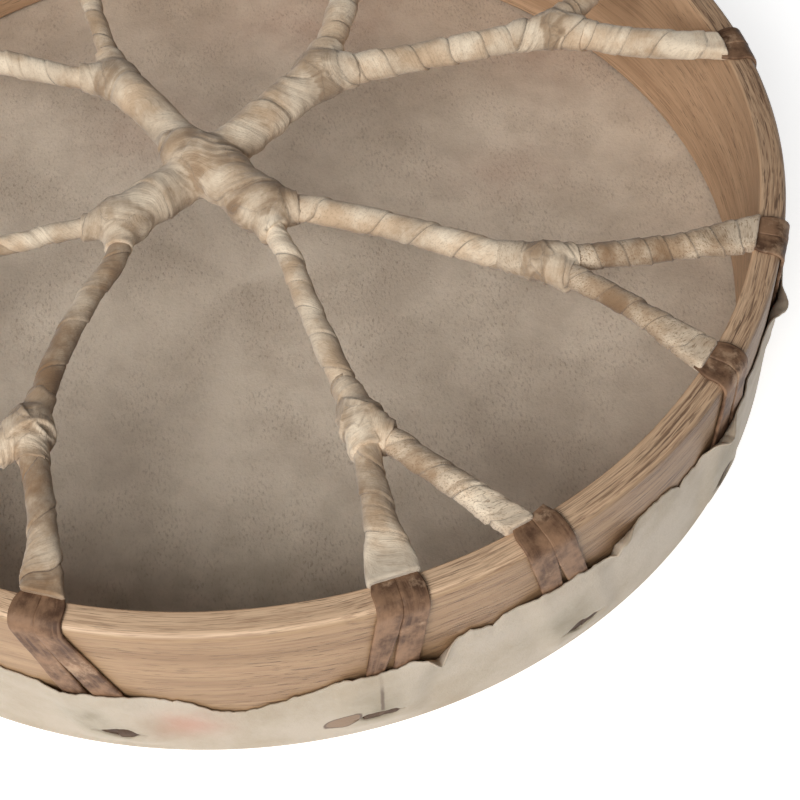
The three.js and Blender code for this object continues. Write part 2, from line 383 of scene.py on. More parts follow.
@dataclass
class Sketch:
    """Short ways to add nodes to one node tree."""

    tree: NodeTree

    def put(self, value: object, socket: NodeSocket) -> None:
        """Gives an input its value, or links it to where the value comes from."""
        if isinstance(value, Value):
            value = value.socket
        if isinstance(value, NodeSocket):
            self.tree.links.new(value, socket)
        elif value is not None:
            four = isinstance(value, tuple) and len(socket.default_value) == 4
            socket.default_value = (*value, 1) if four else value

    def add(self, kind: str, settings: dict | None = None, inputs: dict | None = None) -> Node:
        """Adds a node.

        Args:
            kind: The node's type name.
            settings: Properties of the node by name.
            inputs: Values or sockets by the input's name or number.

        Returns:
            The node.
        """
        node = self.tree.nodes.new(kind)
        for name, value in (settings or {}).items():
            setattr(node, name, value)
        for key, value in (inputs or {}).items():
            self.put(value, node.inputs[key])
        return node

    def calculate(self, operation: str, first: Value, second: Value | float = 0.0) -> Value:
        """Math node on two values."""
        node = self.add("ShaderNodeMath", {"operation": operation}, {0: first, 1: second})
        return Value(self, node.outputs[0])

    def split(self, vector: NodeSocket) -> list[Value]:
        """The three parts of a vector."""
        node = self.add("ShaderNodeSeparateXYZ", None, {0: vector})
        return [Value(self, part) for part in node.outputs]

    def scaled(self, vector: NodeSocket, scale: Colour) -> NodeSocket:
        """The vector with each part multiplied."""
        settings = {"operation": "MULTIPLY"}
        return self.add("ShaderNodeVectorMath", settings, {0: vector, 1: scale}).outputs[0]

    def noise(
        self, vector: NodeSocket, scale: float, detail: float = 3.0, across: Value | None = None,
        roughness: float = 0.55,
    ) -> Value:
        """Noise value at a vector, and at a fourth coordinate if one is given."""
        inputs = {"Vector": vector, "Scale": scale, "Detail": detail, "Roughness": roughness}
        if across is not None:
            inputs["W"] = across
        settings = {"noise_dimensions": "3D" if across is None else "4D"}
        return Value(self, self.add("ShaderNodeTexNoise", settings, inputs).outputs["Fac"])

    def span(self, value: Value, low: float, high: float, start: float = 0.0, end: float = 1.0) -> Value:
        """Maps low to high smoothly onto start to end, and holds outside of them."""
        inputs = {"Value": value, "From Min": low, "From Max": high, "To Min": start, "To Max": end}
        node = self.add("ShaderNodeMapRange", {"interpolation_type": "SMOOTHSTEP"}, inputs)
        return Value(self, node.outputs[0])

    def blend(
        self, share: Value, first: NodeSocket | Colour, second: NodeSocket | Colour, way: str = "MIX",
    ) -> NodeSocket:
        """Mixes two colours by a share."""
        node = self.add("ShaderNodeMix", {"data_type": "RGBA", "blend_type": way})
        given = {"Factor_Float": share, "A_Color": first, "B_Color": second}
        for socket in node.inputs:
            self.put(given.get(socket.identifier), socket)
        return next(socket for socket in node.outputs if socket.identifier == "Result_Color")

    def mark(self, mark: Marks) -> NodeSocket:
        """The vector that the mesh carries under a mark."""
        return self.add("ShaderNodeAttribute", {"attribute_name": mark.value}).outputs["Vector"]

    def finish(
        self, shader: Node, colour: NodeSocket, roughness: float, height: Value,
        strength: float, distance: float,
    ) -> None:
        """Gives the main shader its colour and roughness, and a bump of a height in metres."""
        shader.inputs["Roughness"].default_value = roughness
        self.put(colour, shader.inputs["Base Color"])
        inputs = {"Height": height, "Strength": strength, "Distance": distance}
        bump = self.add("ShaderNodeBump", None, inputs)
        self.put(bump.outputs[0], shader.inputs["Normal"])


def new_material(name: str) -> tuple[Material, Sketch, Node, NodeSocket]:
    """Makes a node material; gives it, its sketch, its main shader and the Object coordinates."""
    material = bpy.data.materials.new(name)
    material.use_nodes = True
    sketch = Sketch(material.node_tree)
    place = sketch.add("ShaderNodeTexCoord").outputs["Object"]
    return material, sketch, material.node_tree.nodes["Principled BSDF"], place


@dataclass(frozen=True)
class WoodFinish:
    """Oiled bent wood with the grain along the hoop."""

    pale: Colour = srgb(226, 190, 154)
    middle: Colour = srgb(196, 160, 126)
    deep: Colour = srgb(150, 114, 86)
    pore: Colour = srgb(78, 56, 42)
    aged: Colour = srgb(122, 94, 74)
    # Colour of the painted highlight on the rim's crest.
    crest_highlight: Colour = srgb(244, 214, 180)
    # Multiplier of the painted shade on the outer wall.
    outer_wall_shade: Colour = (0.51, 0.48, 0.41)
    roughness: float = 0.52

    def material(self) -> Material:
        """Builds the material.

        Returns:
            The material, which reads Object coordinates alone.
        """
        material, sketch, shader, place = new_material("bent_wood")
        span, blend, noise = sketch.span, sketch.blend, sketch.noise
        east, north, level = sketch.split(place)
        radius = sketch.calculate("SQRT", east * east + north * north)
        drift = noise(place, 9.0, 2) * (9 * MM)
        bowed = sketch.add("ShaderNodeCombineXYZ", None, {0: east, 1: north, 2: level + drift})
        depth = radius + drift

        def grain(along: float, across: float, detail: float) -> Value:
            """Noise that is stretched along the hoop."""
            stretched = sketch.scaled(bowed.outputs[0], (along, along, across))
            return noise(stretched, 1.0, detail, depth * across)

        board = grain(6, 130, 3)
        streak = grain(16, 800, 4)
        dash = grain(95, 1700, 2)
        line = grain(34, 1350, 2)
        fine = grain(60, 3000, 3)
        colour = blend(span(board, 0.35, 0.68), self.pale, self.middle)
        colour = blend(span(streak, 0.46, 0.72, 0, 0.55), colour, self.deep)
        patch = noise(place, 14.0, 2)
        pores = span(dash, 0.58, 0.68) * span(patch, 0.4, 0.62, 0.35, 1)
        aged = east * 0.82 + north * 0.57
        old = span(aged, -0.2, 0.06)
        aged = span(aged, -0.16, 0.14, 0, 0.42)
        on_rim = span(radius, INSIDE_RADIUS + 0.1 * MM, INSIDE_RADIUS + 2.5 * MM)
        lined = span(streak, 0.3, 0.66, 0.55, 1)
        colour = blend(aged * on_rim * lined, colour, self.aged)
        # Painted highlight on the rim's crest, strongest on the south-west side, towards the key light.
        crest = on_rim * span(level, HOOP_TOP - 3 * MM, HOOP_TOP - 1 * MM)
        fresh = span(aged, 0.0, 0.35, 0.34, 0.12)
        colour = blend(crest * fresh, colour, self.crest_highlight)
        within = span(radius, INSIDE_RADIUS + 1.2 * MM, INSIDE_RADIUS + 0.2 * MM, 0, 0.22)
        colour = blend(within, colour, self.deep)
        # Painted shade: the outer wall is multiplied darker, against the strong key light on it.
        outside = span(radius, HOOP_RADIUS - 1.6 * MM, HOOP_RADIUS - 0.1 * MM)
        colour = blend(outside, colour, self.outer_wall_shade, "MULTIPLY")
        lines = sketch.calculate("MAXIMUM", span(dash, 0.53, 0.61), span(line, 0.54, 0.62))
        lines = lines * span(streak, 0.4, 0.6, 0.25, 1) * (old * on_rim)
        pores = sketch.calculate("MAXIMUM", pores, lines)
        colour = blend(pores * 0.8, colour, self.pore)
        fine_share = span(fine, 0.46, 0.62, 0, 0.55) * span(on_rim, 0, 1, 0.3, 1)
        colour = blend(fine_share, colour, self.deep)
        raised = pores * -1.0 + streak * 0.7 + fine * 0.25
        sketch.finish(shader, colour, self.roughness, raised, 0.5, 0.35 * MM)
        return material


@dataclass(frozen=True)
class RawhideFinish:
    """Dried skin: ivory and slightly waxy outside, grey, flecked and stained inside."""

    # The outside's ivory and cream are the skin's own colours, made darker as painted shade for the turned-up
    # wall, which the key light strikes.
    ivory: Colour = srgb(182, 169, 152)
    cream: Colour = srgb(165, 150, 129)
    grey: Colour = srgb(220, 206, 187)
    shade: Colour = srgb(188, 172, 154)
    fleck: Colour = srgb(132, 108, 90)
    blush: Colour = srgb(176, 112, 90)
    moss_and_shade: Colour = srgb(134, 124, 102)
    umber: Colour = srgb(122, 92, 66)
    # Colour of the scar's outline and of the painted shade line of the crease.
    outline_and_crease_shade: Colour = srgb(80, 56, 42)
    roughness: float = 0.62
    patch_angle: float = -86.3
    patch_height: float = 16.5 * MM
    patch_size: tuple[float, float] = (7 * MM, 3.6 * MM)
    patch_slant: float = 0.45
    crease_angle: float = -82.6
    crease_heights: tuple[float, float] = (31 * MM, 40 * MM)
    stroke_turn: float = 0.5
    stroke_scale: tuple[float, float, float] = (1000, 430, 460)
    glow_depths: tuple[float, float, float] = (4 * MM, 2.5 * MM, 1.5 * MM)

    def material(self) -> Material:
        """Builds the material.

        Returns:
            The material; its mark of stains and shade gives blush, moss with the head's painted shade, and
            the inside's share.
        """
        material, sketch, shader, place = new_material("rawhide")
        span, blend, noise = sketch.span, sketch.blend, sketch.noise
        blush, moss_and_shade, inside = sketch.split(sketch.mark(Marks.STAIN_AND_SHADE))
        cloud = noise(place, 22.0, 5, roughness=0.62)
        blotch = noise(place, 70.0, 4, roughness=0.6)
        outer = blend(span(cloud, 0.38, 0.66), self.ivory, self.cream)
        inner = blend(span(cloud, 0.36, 0.66, 0, 0.6), self.grey, self.shade)
        inner = blend(span(blotch, 0.46, 0.7, 0, 0.15), inner, self.cream)
        colour = blend(inside, outer, inner)
        bent = sketch.add("ShaderNodeMapping", None, {
            "Vector": place, "Rotation": (0, 0, self.stroke_turn), "Scale": self.stroke_scale})
        strokes = noise(bent.outputs[0], 1.0, 4, roughness=0.7)
        crowd = noise(place, 26.0, 3, roughness=0.6)
        flecks = span(strokes, 0.48, 0.74, 0, 0.6) * span(crowd, 0.36, 0.64, 0.2, 1) * inside
        colour = blend(flecks, colour, self.fleck)
        mottle = span(blotch, 0.3, 0.62, 0.45, 1)
        colour = blend(blush * mottle, colour, self.blush)
        # The moss channel also carries painted shade on the head near the front wall.
        colour = blend(moss_and_shade * mottle, colour, self.moss_and_shade)
        shape, ring = self._patch(sketch, place)
        colour = blend(shape, colour, self.umber)
        colour = blend(ring, colour, self.outline_and_crease_shade)
        shader.inputs["Subsurface Weight"].default_value = 0.08
        shader.inputs["Subsurface Radius"].default_value = self.glow_depths
        shader.inputs["Subsurface Scale"].default_value = 0.6
        pebble = noise(place, 620.0, 4, roughness=0.7)
        dent = noise(place, 130.0, 4)
        sketch.finish(shader, colour, self.roughness, pebble * 1.1 + dent * 0.8 - flecks * 0.9, 0.5, 0.5 * MM)
        return material

    def _patch(self, sketch: Sketch, place: NodeSocket) -> tuple[Value, Value]:
        """Brown oval scar on the turned-up wall, the dark line round it, and a painted shade line for the
        crease above the slot beside it.

        Args:
            sketch: Sketch of the material's tree.
            place: Object coordinates.

        Returns:
            The share of the scar's brown, and the share of the dark lines.
        """
        span = sketch.span
        east, north, height = sketch.split(place)
        turn = sketch.calculate("ARCTAN2", north, east)
        waver = (sketch.noise(place, 160.0, 3) - 0.5) * (2.6 * MM)

        def arc(angle: float) -> Value:
            """Distance along the wall from an angle in degrees."""
            return (turn - math.radians(angle)) * SKIN_OUTSIDE

        aside = arc(self.patch_angle) + waver
        rise = height - self.patch_height + waver - aside * self.patch_slant
        wide = aside / self.patch_size[0]
        tall = rise / self.patch_size[1]
        away = sketch.calculate("SQRT", wide * wide + tall * tall)
        shape = span(away, 0.85, 1.02, 0.8, 0)
        ring = span(away, 0.84, 0.96) * span(away, 0.98, 1.1, 0.85, 0)
        # Painted shade line for the crease above the slot.
        crease = sketch.calculate("ABSOLUTE", arc(self.crease_angle) + waver * 0.4)
        crease = span(crease, 0.2 * MM, 1.1 * MM, 0.75, 0)
        low = span(height, SLOT_HEIGHT + 1 * MM, SLOT_HEIGHT + 4 * MM)
        crease = crease * (low * span(height, *self.crease_heights, 1, 0.2))
        return shape, sketch.calculate("MAXIMUM", ring, crease)


@dataclass(frozen=True)
class LaceFinish:
    """Dark translucent rawhide straps with paler scuffs."""

    dark: Colour = srgb(84, 60, 45)
    brown: Colour = srgb(141, 109, 84)
    scuff: Colour = srgb(180, 150, 122)
    # Colour that the straps darken to towards the slot.
    slot_dark: Colour = srgb(60, 42, 31)
    dark_reach: tuple[float, float] = (3 * MM, 7 * MM)
    roughness: float = 0.55

    def material(self) -> Material:
        """Builds the material.

        Returns:
            The material; its limb mark gives the place along and across a strap.
        """
        material, sketch, shader, place = new_material("dark_lace")
        span, blend, noise = sketch.span, sketch.blend, sketch.noise
        along = noise(sketch.scaled(sketch.mark(Marks.LIMB), (70, 700, 700)), 1.0, 4)
        cloud = noise(place, 95.0, 5, roughness=0.65)
        worn = noise(place, 60.0, 5, roughness=0.75)
        colour = blend(span(cloud, 0.36, 0.64), self.dark, self.brown)
        colour = blend(span(along, 0.45, 0.7, 0, 0.5), colour, self.brown)
        colour = blend(span(worn, 0.54, 0.68, 0, 0.72), colour, self.scuff)
        shader.inputs["Specular IOR Level"].default_value = 0.2
        # Darker towards the slot, where the straps go in under the skin.
        level = sketch.split(place)[2]
        toward_slot = span(level, SLOT_HEIGHT + self.dark_reach[1], SLOT_HEIGHT + self.dark_reach[0], 0, 0.8)
        colour = blend(toward_slot, colour, self.slot_dark)
        height = along * 0.8 + noise(place, 500.0) * 0.4
        sketch.finish(shader, colour, self.roughness, height, 0.5, 0.4 * MM)
        return material


@dataclass(frozen=True)
class BuckskinFinish:
    """Soft suede strips, with painted shade lines under their laps, painted shade in their hollows, and fine
    wrinkles across.
    """

    bright: Colour = srgb(250, 232, 206)
    cream: Colour = srgb(222, 194, 162)
    brown: Colour = srgb(140, 110, 80)
    grey: Colour = srgb(192, 184, 168)
    # Colour of the painted shade beneath each lap.
    line: Colour = srgb(66, 48, 36)
    roughness: float = 0.86

    def material(self) -> Material:
        """Builds the material.

        Returns:
            The material; its marks give the lap's turn, the place on the limb, and the tone.
        """
        material, sketch, shader, place = new_material("wound_buckskin")
        span, blend, noise = sketch.span, sketch.blend, sketch.noise
        lap_cos, lap_sin, lap_depth = sketch.split(sketch.mark(Marks.LAP))
        limb = sketch.mark(Marks.LIMB)
        warmth, greyness, suede = sketch.split(sketch.mark(Marks.TONE))
        hollow_shade = sketch.split(sketch.mark(Marks.FOLD))[0]
        turn = sketch.calculate("ARCTAN2", lap_sin, lap_cos) / TURN
        # Painted shade just beneath each lap's lip, drawn as a dark line.
        under_shade = span(turn, 0.0, 0.03, 1, 0) * sketch.calculate("GREATER_THAN", turn, 0.0)
        patchy = noise(place, 75.0, 3)
        lap_shade = under_shade * lap_depth * span(patchy, 0.38, 0.58, 0.12, 1)
        cloud = noise(place, 55.0, 5, roughness=0.66)
        wrinkle = noise(sketch.scaled(limb, (900, 90, 1)), 1.0, 4, roughness=0.65)
        nap = noise(sketch.scaled(limb, (1500, 1000, 1)), 1.0, 3, roughness=0.75)
        colour = blend(span(cloud, 0.36, 0.64), self.bright, self.cream)
        colour = blend(warmth * span(cloud, 0.25, 0.68, 0.5, 1), colour, self.brown)
        colour = blend(greyness, colour, self.grey)
        colour = blend(span(wrinkle, 0.5, 0.74, 0, 0.2), colour, self.brown)
        # Painted shade in the hollows of the wraps and between the branches.
        colour = blend(span(hollow_shade, 0.5, 1.0, 0, 0.6), colour, self.brown)
        dots = span(nap, 0.5, 0.66) * span(suede, 0, 1, 0.22, 0.85)
        colour = blend(dots, colour, self.brown)
        colour = blend(lap_shade * 0.85, colour, self.line)
        shader.inputs["Sheen Weight"].default_value = 0.25
        shader.inputs["Sheen Roughness"].default_value = 0.5
        sketch.finish(shader, colour, self.roughness, wrinkle * 0.95 + nap * 0.5 - lap_shade * 0.7, 0.7, 0.5 * MM)
        return material


@dataclass(frozen=True)
class FloorFinish:
    """Plain white studio floor."""

    white: Colour = (0.93, 0.93, 0.93)
    glow: float = 0.64

    def material(self) -> Material:
        """Builds the material, with a trace of unevenness."""
        material, sketch, shader, place = new_material("studio_floor")
        shader.inputs["Roughness"].default_value = 0.9
        dimmer = tuple(0.98 * part for part in self.white)
        colour = sketch.blend(sketch.noise(place, 2.0), self.white, dimmer)
        sketch.put(colour, shader.inputs["Base Color"])
        shader.inputs["Emission Color"].default_value = (1, 1, 1, 1)
        shader.inputs["Emission Strength"].default_value = self.glow
        return material


@dataclass(frozen=True)
class Finishes:
    """All materials of the drum, one of each."""

    wood: Material
    rawhide: Material
    lace: Material
    buckskin: Material


class Sweep:
    """Geometry Nodes tree that carries a profile along a path with a facing at each point."""

    def __init__(self) -> None:
        """Builds the tree."""
        self.tree = bpy.data.node_groups.new("profile_along_path", "GeometryNodeTree")
        face = self.tree.interface
        face.new_socket("Path", in_out="INPUT", socket_type="NodeSocketGeometry")
        self.sockets = {
            name: face.new_socket(name, in_out="INPUT", socket_type=kind).identifier
            for name, kind in {
                "Profile": "NodeSocketObject",
                "Width": "NodeSocketFloat",
                "Thickness": "NodeSocketFloat",
                "Finish": "NodeSocketMaterial",
            }.items()
        }
        face.new_socket("Swept", in_out="OUTPUT", socket_type="NodeSocketGeometry")
        sketch = Sketch(self.tree)
        given = sketch.add("NodeGroupInput").outputs
        facing = sketch.add(
            "GeometryNodeInputNamedAttribute", {"data_type": "FLOAT_VECTOR"}, {"Name": Marks.FACING.value})
        path = sketch.add("GeometryNodeMeshToCurve", None, {"Mesh": given["Path"]})
        turned = sketch.add("GeometryNodeSetCurveNormal", {"mode": "FREE"}, {
            "Curve": path.outputs[0], "Normal": facing.outputs["Attribute"]})
        outline = sketch.add("GeometryNodeObjectInfo", None, {"Object": given["Profile"]})
        ring = sketch.add("GeometryNodeMeshToCurve", None, {"Mesh": outline.outputs["Geometry"]})
        size = sketch.add("ShaderNodeCombineXYZ", None, {0: given["Width"], 1: given["Thickness"], 2: 1.0})
        sized = sketch.add("GeometryNodeTransform", None, {
            "Geometry": ring.outputs[0], "Scale": size.outputs[0]})
        swept = sketch.add("GeometryNodeCurveToMesh", None, {
            "Curve": turned.outputs[0], "Profile Curve": sized.outputs[0], "Fill Caps": True})
        whole = sketch.add("GeometryNodeRealizeInstances", None, {0: swept.outputs[0]})
        dressed = sketch.add("GeometryNodeSetMaterial", None, {
            "Geometry": whole.outputs[0], "Material": given["Finish"]})
        sketch.add("NodeGroupOutput", None, {0: dressed.outputs[0]})

    @staticmethod
    def _line(name: str, points: Rows, closed: bool) -> Object:
        """Object with a mesh of edges from point to point."""
        count = len(points)
        edges = [(i, (i + 1) % count) for i in range(count if closed else count - 1)]
        mesh = bpy.data.meshes.new(name)
        mesh.from_pydata([tuple(row) for row in points], edges, [])
        return linked(name, mesh)

    def run(
        self, path: Rows, facing: Rows, profile: Rows, size: tuple[float, float],
        finish: Material, closed: bool = False,
    ) -> tuple[Mesh, Rows]:
        """Sweeps a closed profile along a path.

        Args:
            path: Points of the path.
            facing: The direction of the profile's X axis at each of them.
            profile: Points of the profile, as rows of x and y.
            size: Width and thickness by which the profile is multiplied.
            finish: Material of the result.
            closed: Whether the path is a ring.

        Returns:
            The mesh, and for each vertex its number along the path.
        """
        outline = self._line("outline", np.pad(profile, ((0, 0), (0, 1))), True)
        guide = self._line("guide", path, closed)
        set_mark(guide.data, Marks.FACING, facing)
        set_mark(guide.data, Marks.ORDER, columns(np.arange(len(path)), 0, 0))
        sweep = guide.modifiers.new("sweep", "NODES")
        sweep.node_group = self.tree
        for name, value in zip(("Profile", "Width", "Thickness", "Finish"), (outline, *size, finish)):
            sweep[self.sockets[name]] = value
        mesh = settled(guide)
        discard(outline)
        ring = vectors(mesh.attributes[Marks.ORDER.value].data, "vector")[:, 0]
        for mark in (Marks.FACING, Marks.ORDER):
            mesh.attributes.remove(mesh.attributes[mark.value])
        shade_smooth(mesh)
        return mesh, np.rint(ring).astype(int)


@dataclass
class Rail:
    """A path with its own directions: forwards, across and over."""

    points: Rows
    forwards: Rows = field(init=False)
    across: Rows = field(init=False)
    over: Rows = field(init=False)
    run: Rows = field(init=False)

    def __post_init__(self) -> None:
        """Works out the directions and the length run at each point."""
        self.forwards = unit(np.gradient(self.points, axis=0))
        self.across = unit(np.cross(UP, self.forwards))
        self.over = np.cross(self.forwards, self.across)
        self.run = run_along(self.points)


@dataclass
class Wrap:
    """What a wound strip does at some places: where on it they are, and its relief there."""

    strip: Rows
    turns: Rows
    height: Rows
    hollow_shade: Rows
    tone: Rows


@dataclass
class Winding:
    """How the strip of leather goes round one limb, and its tone."""

    pitch: float = 16 * MM
    lap: float = 0.6 * MM
    phase: float = 0.0
    hand: int = 1
    wrinkle: float = 0.12 * MM
    fold: float = 0.5 * MM
    wobble: float = 0.2
    line: float = 0.7
    warmth: float = 0.3
    greyness: float = 0.0
    suede: float = 0.0
    seed: int = 1
    fine_scale: tuple[float, float, float] = (700, 90, 1)
    broad_scale: tuple[float, float, float] = (140, 32, 1)
    thin_scale: tuple[float, float, float] = (380, 60, 1)
    patch_scale: tuple[float, float, float] = (60, 40, 1)
    cloud_scale: float = 60

    def cover(self, run: Rows, angle: Rows, girth: float, points: Rows) -> Wrap:
        """Lays the strip round a limb.

        Args:
            run: Length run along the limb at each place.
            angle: Angle round the limb, in radians.
            girth: Thickness of the limb.
            points: Rows of the same places in the drum.

        Returns:
            The strip's place, turns, height, painted shade in its hollows, and tone, which holds painted
            shade on the limb's underside, at each of them.
        """
        wander = self.wobble * lattice_noise(points * self.cloud_scale, self.seed + 7)
        phase = run / self.pitch + wander + self.phase - self.hand * angle / TURN
        part = phase % 1
        length = (phase - part + self.hand * angle / TURN) * math.pi * girth
        strip = columns(part * self.pitch, length, self.seed * 0.37)
        fine = layered_noise(strip * self.fine_scale, 2, self.seed + 20)
        broad = 0.45 - np.abs(lattice_noise(strip * self.broad_scale + [0, 0, 9], self.seed + 30))
        thin = 0.4 - np.abs(lattice_noise(strip * self.thin_scale + [0, 0, 5], self.seed + 31))
        relief = broad + 0.3 * thin
        step = part - smooth_rise(0.94, 1, part) - 0.5
        height = self.lap * step + self.wrinkle * fine + self.fold * relief
        # Painted shade in the strip's hollows, where its relief is low.
        hollow_shade = np.clip(0.35 - 0.75 * relief - 0.25 * fine, 0, 1)
        patches = lattice_noise(strip * self.patch_scale, self.seed + 60)
        clouds = layered_noise(points * self.cloud_scale, 2, 61)
        # Painted shade on the limb's underside, added to the warmth that browns the colour.
        under_shade = 0.35 * np.clip(-np.sin(angle), 0, 1)
        warmth = np.clip(self.warmth + 0.34 * patches + 0.3 * clouds + under_shade, 0, 1)
        grey = np.clip(self.greyness * (1 + 0.6 * clouds), 0, 1)
        turns = columns(np.cos(TURN * phase), np.sin(TURN * phase))
        return Wrap(strip, turns, height, hollow_shade, columns(warmth, grey, self.suede))

    @staticmethod
    def mark(mesh: Mesh, wrap: Wrap, line: Rows) -> None:
        """Stores for the material what the strip does, and how strong the painted shade line beneath its laps
        is.
        """
        set_mark(mesh, Marks.LAP, columns(*wrap.turns.T, line))
        set_mark(mesh, Marks.LIMB, wrap.strip)
        set_mark(mesh, Marks.TONE, wrap.tone)
        set_mark(mesh, Marks.FOLD, columns(wrap.hollow_shade, 0, 0))


@dataclass
class WoundLimb:
    """A strand wound with leather, from one place to another."""

    places: list[Rows]
    girth: float
    winding: Winding
    end_width: float = 0.0
    end_thickness: float = 0.0
    end_share: float = 0.45
    end_bearing: float | None = None
    end_rounding: float = 1.0 * MM
    unevenness: float = 0.07
    roughness: float = 0.22 * MM
    raggedness: float = 0.35 * MM
    calm_run: tuple[float, float] = (0.2 * MM, 4 * MM)
    grey_run: tuple[float, float] = (7 * MM, 13 * MM)
    slanted_run: tuple[float, float] = (1 * MM, 16 * MM)
    spacing: float = 0.5 * MM
    facets: int = 52

    def _half_sizes(self, rail: Rail) -> tuple[Rows, Rows, Rows]:
        """Half width, half height and squareness at the rail's points."""
        share = rail.run / rail.run[-1]
        swell = lattice_noise(columns(rail.run * 55, 0, 0), self.winding.seed)
        half = self.girth / 2 * (1 + self.unevenness * swell)
        if not self.end_width:
            return half, half, np.full_like(share, 2.0)
        flat = smooth_rise(1 - self.end_share, 0.97, share)
        width = half * (1 - flat) + self.end_width / 2 * flat
        height = half * (1 - flat) + self.end_thickness / 2 * flat
        close = np.clip(1 - (rail.run[-1] - rail.run) / self.end_rounding, 0, 1)
        inset = self.end_rounding * (1 - np.sqrt(1 - 0.98 * close**2))
        return width - inset, height - inset, 2 + 3 * flat**2

    def build(self, sweep: Sweep, finish: Material) -> Mesh:
        """Winds the limb.

        Args:
            sweep: The tree that carries the limb's outline along it.
            finish: Its material.

        Returns:
            A closed mesh with its marks.
        """
        wind = self.winding
        rail = Rail(smooth_path(self.places, self.spacing))
        angles = TURN * np.arange(self.facets) / self.facets
        circle = columns(np.cos(angles), np.sin(angles))
        half = self.girth / 2
        mesh, ring = sweep.run(rail.points, rail.across, circle, (half, half), finish)
        points = mesh_points(mesh)
        middle = rail.points[ring]
        offset = points - middle
        way = unit(columns(*((offset * side[ring]).sum(axis=1) for side in (rail.across, rail.over))))
        width, height, square = (row[ring] for row in self._half_sizes(rail))
        base = np.sign(way) * np.abs(way) ** (2 / square)[:, None] * columns(width, height)
        out = unit(way * columns(height, width))
        wrap = wind.cover(rail.run[ring], np.arctan2(way[:, 1], way[:, 0]), self.girth, points)
        left = rail.run[-1] - rail.run[ring]
        calm = np.ones(len(points))
        if self.end_width:
            calm = smooth_rise(*self.calm_run, left)
            wrap.tone[:, 1] *= 1 - smooth_rise(*self.grey_run, left)
        rough = layered_noise(points * 140, 2, wind.seed + 40)
        lift = wrap.height * (0.35 + 0.65 * calm) + self.roughness * rough
        local = base + out * lift[:, None]
        near_end = (1 - smooth_rise(*self.slanted_run, left)) * (self.end_width > 0)
        ragged = lattice_noise(columns(*(local * 250).T, 0), wind.seed + 44)
        forward = near_end * self.raggedness * ragged
        if self.end_bearing is not None:
            heading = math.atan2(rail.forwards[-1][1], rail.forwards[-1][0])
            forward -= near_end * local[:, 0] * math.tan(self.end_bearing - heading)
        middle = middle + rail.forwards[ring] * forward[:, None]
        set_points(mesh, middle + rail.across[ring] * local[:, :1] + rail.over[ring] * local[:, 1:])
        wind.mark(mesh, wrap, wind.line * calm)
        face_outwards(mesh)
        return mesh


@dataclass
class Branch:
    """One limb of a fork: a tapered strand from start to end, or a band with square sides."""

    start: Rows
    end: Rows
    start_girth: float
    end_girth: float
    winding: Winding
    flatness: float = 1.0
    cut: bool = False
    band: bool = False
    cap_reach: float = 0.5 * MM
    cut_slant: float = 0.3
    shell_sides: int = 24
    shell_caps: int = 4

    def frame(self) -> tuple[Rows, Rows, Rows, float]:
        """Directions forwards, across and over, and the length."""
        line = self.end - self.start
        length = float(np.linalg.norm(line))
        forwards = line / max(length, 1e-9)
        across = unit(np.cross(UP, forwards))
        return forwards, across, np.cross(forwards, across), length

    def local(self, points: Rows) -> tuple[Rows, Rows]:
        """Places on the branch and distances outside of its surface.

        Args:
            points: Rows of places in the drum.

        Returns:
            Rows of run, across and over; and the distances.
        """
        forwards, across, over, length = self.frame()
        offset = points - self.start
        run = offset @ forwards
        side, top = offset @ across, (offset @ over) / self.flatness
        share = np.clip(run / max(length, 1e-9), 0, 1)
        half = (self.start_girth * (1 - share) + self.end_girth * share) / 2
        beyond = run - np.clip(run, 0, length)
        place = columns(run, side, top)
        if self.band:
            aside = np.abs(run - length / 2) - length / 2
            return place, np.maximum(np.hypot(side, top) - half, aside)
        if self.cut:
            slant = run + self.cut_slant * side * self.winding.hand - length
            outside = np.sqrt(side**2 + top**2 + np.minimum(beyond, 0) ** 2) - half
            return place, np.maximum(outside, slant)
        return place, np.sqrt(side**2 + top**2 + beyond**2) - half

    def shell(self) -> Mesh:
        """Plain closed tube a little larger than the branch, for the first union."""
        forwards, across, over, _ = self.frame()
        sides, caps = self.shell_sides, self.shell_caps
        rings = []
        for end, girth, sign in ((self.start, self.start_girth, -1), (self.end, self.end_girth, 1)):
            for step in range(caps)[::sign]:
                lift = math.radians(90 * (step + 0.1) / caps)
                reach = self.cap_reach if self.band or (self.cut and sign > 0) else girth / 2
                centre = end + forwards * sign * reach * math.sin(lift)
                rings.append((centre, girth / 2 * (1 if reach < girth / 2 else math.cos(lift))))
        rings = sorted(rings, key=lambda ring: float((ring[0] - self.start) @ forwards))
        angles = TURN * np.arange(sides) / sides
        circle = np.cos(angles)[:, None] * across + np.sin(angles)[:, None] * over * self.flatness
        points = np.vstack([centre + radius * circle for centre, radius in rings])
        faces = loft_faces(len(rings), sides)
        faces.append(tuple(range(sides))[::-1])
        faces.append(tuple(range((len(rings) - 1) * sides, len(rings) * sides)))
        mesh = mesh_of("branch", points, faces)
        face_outwards(mesh)
        return mesh


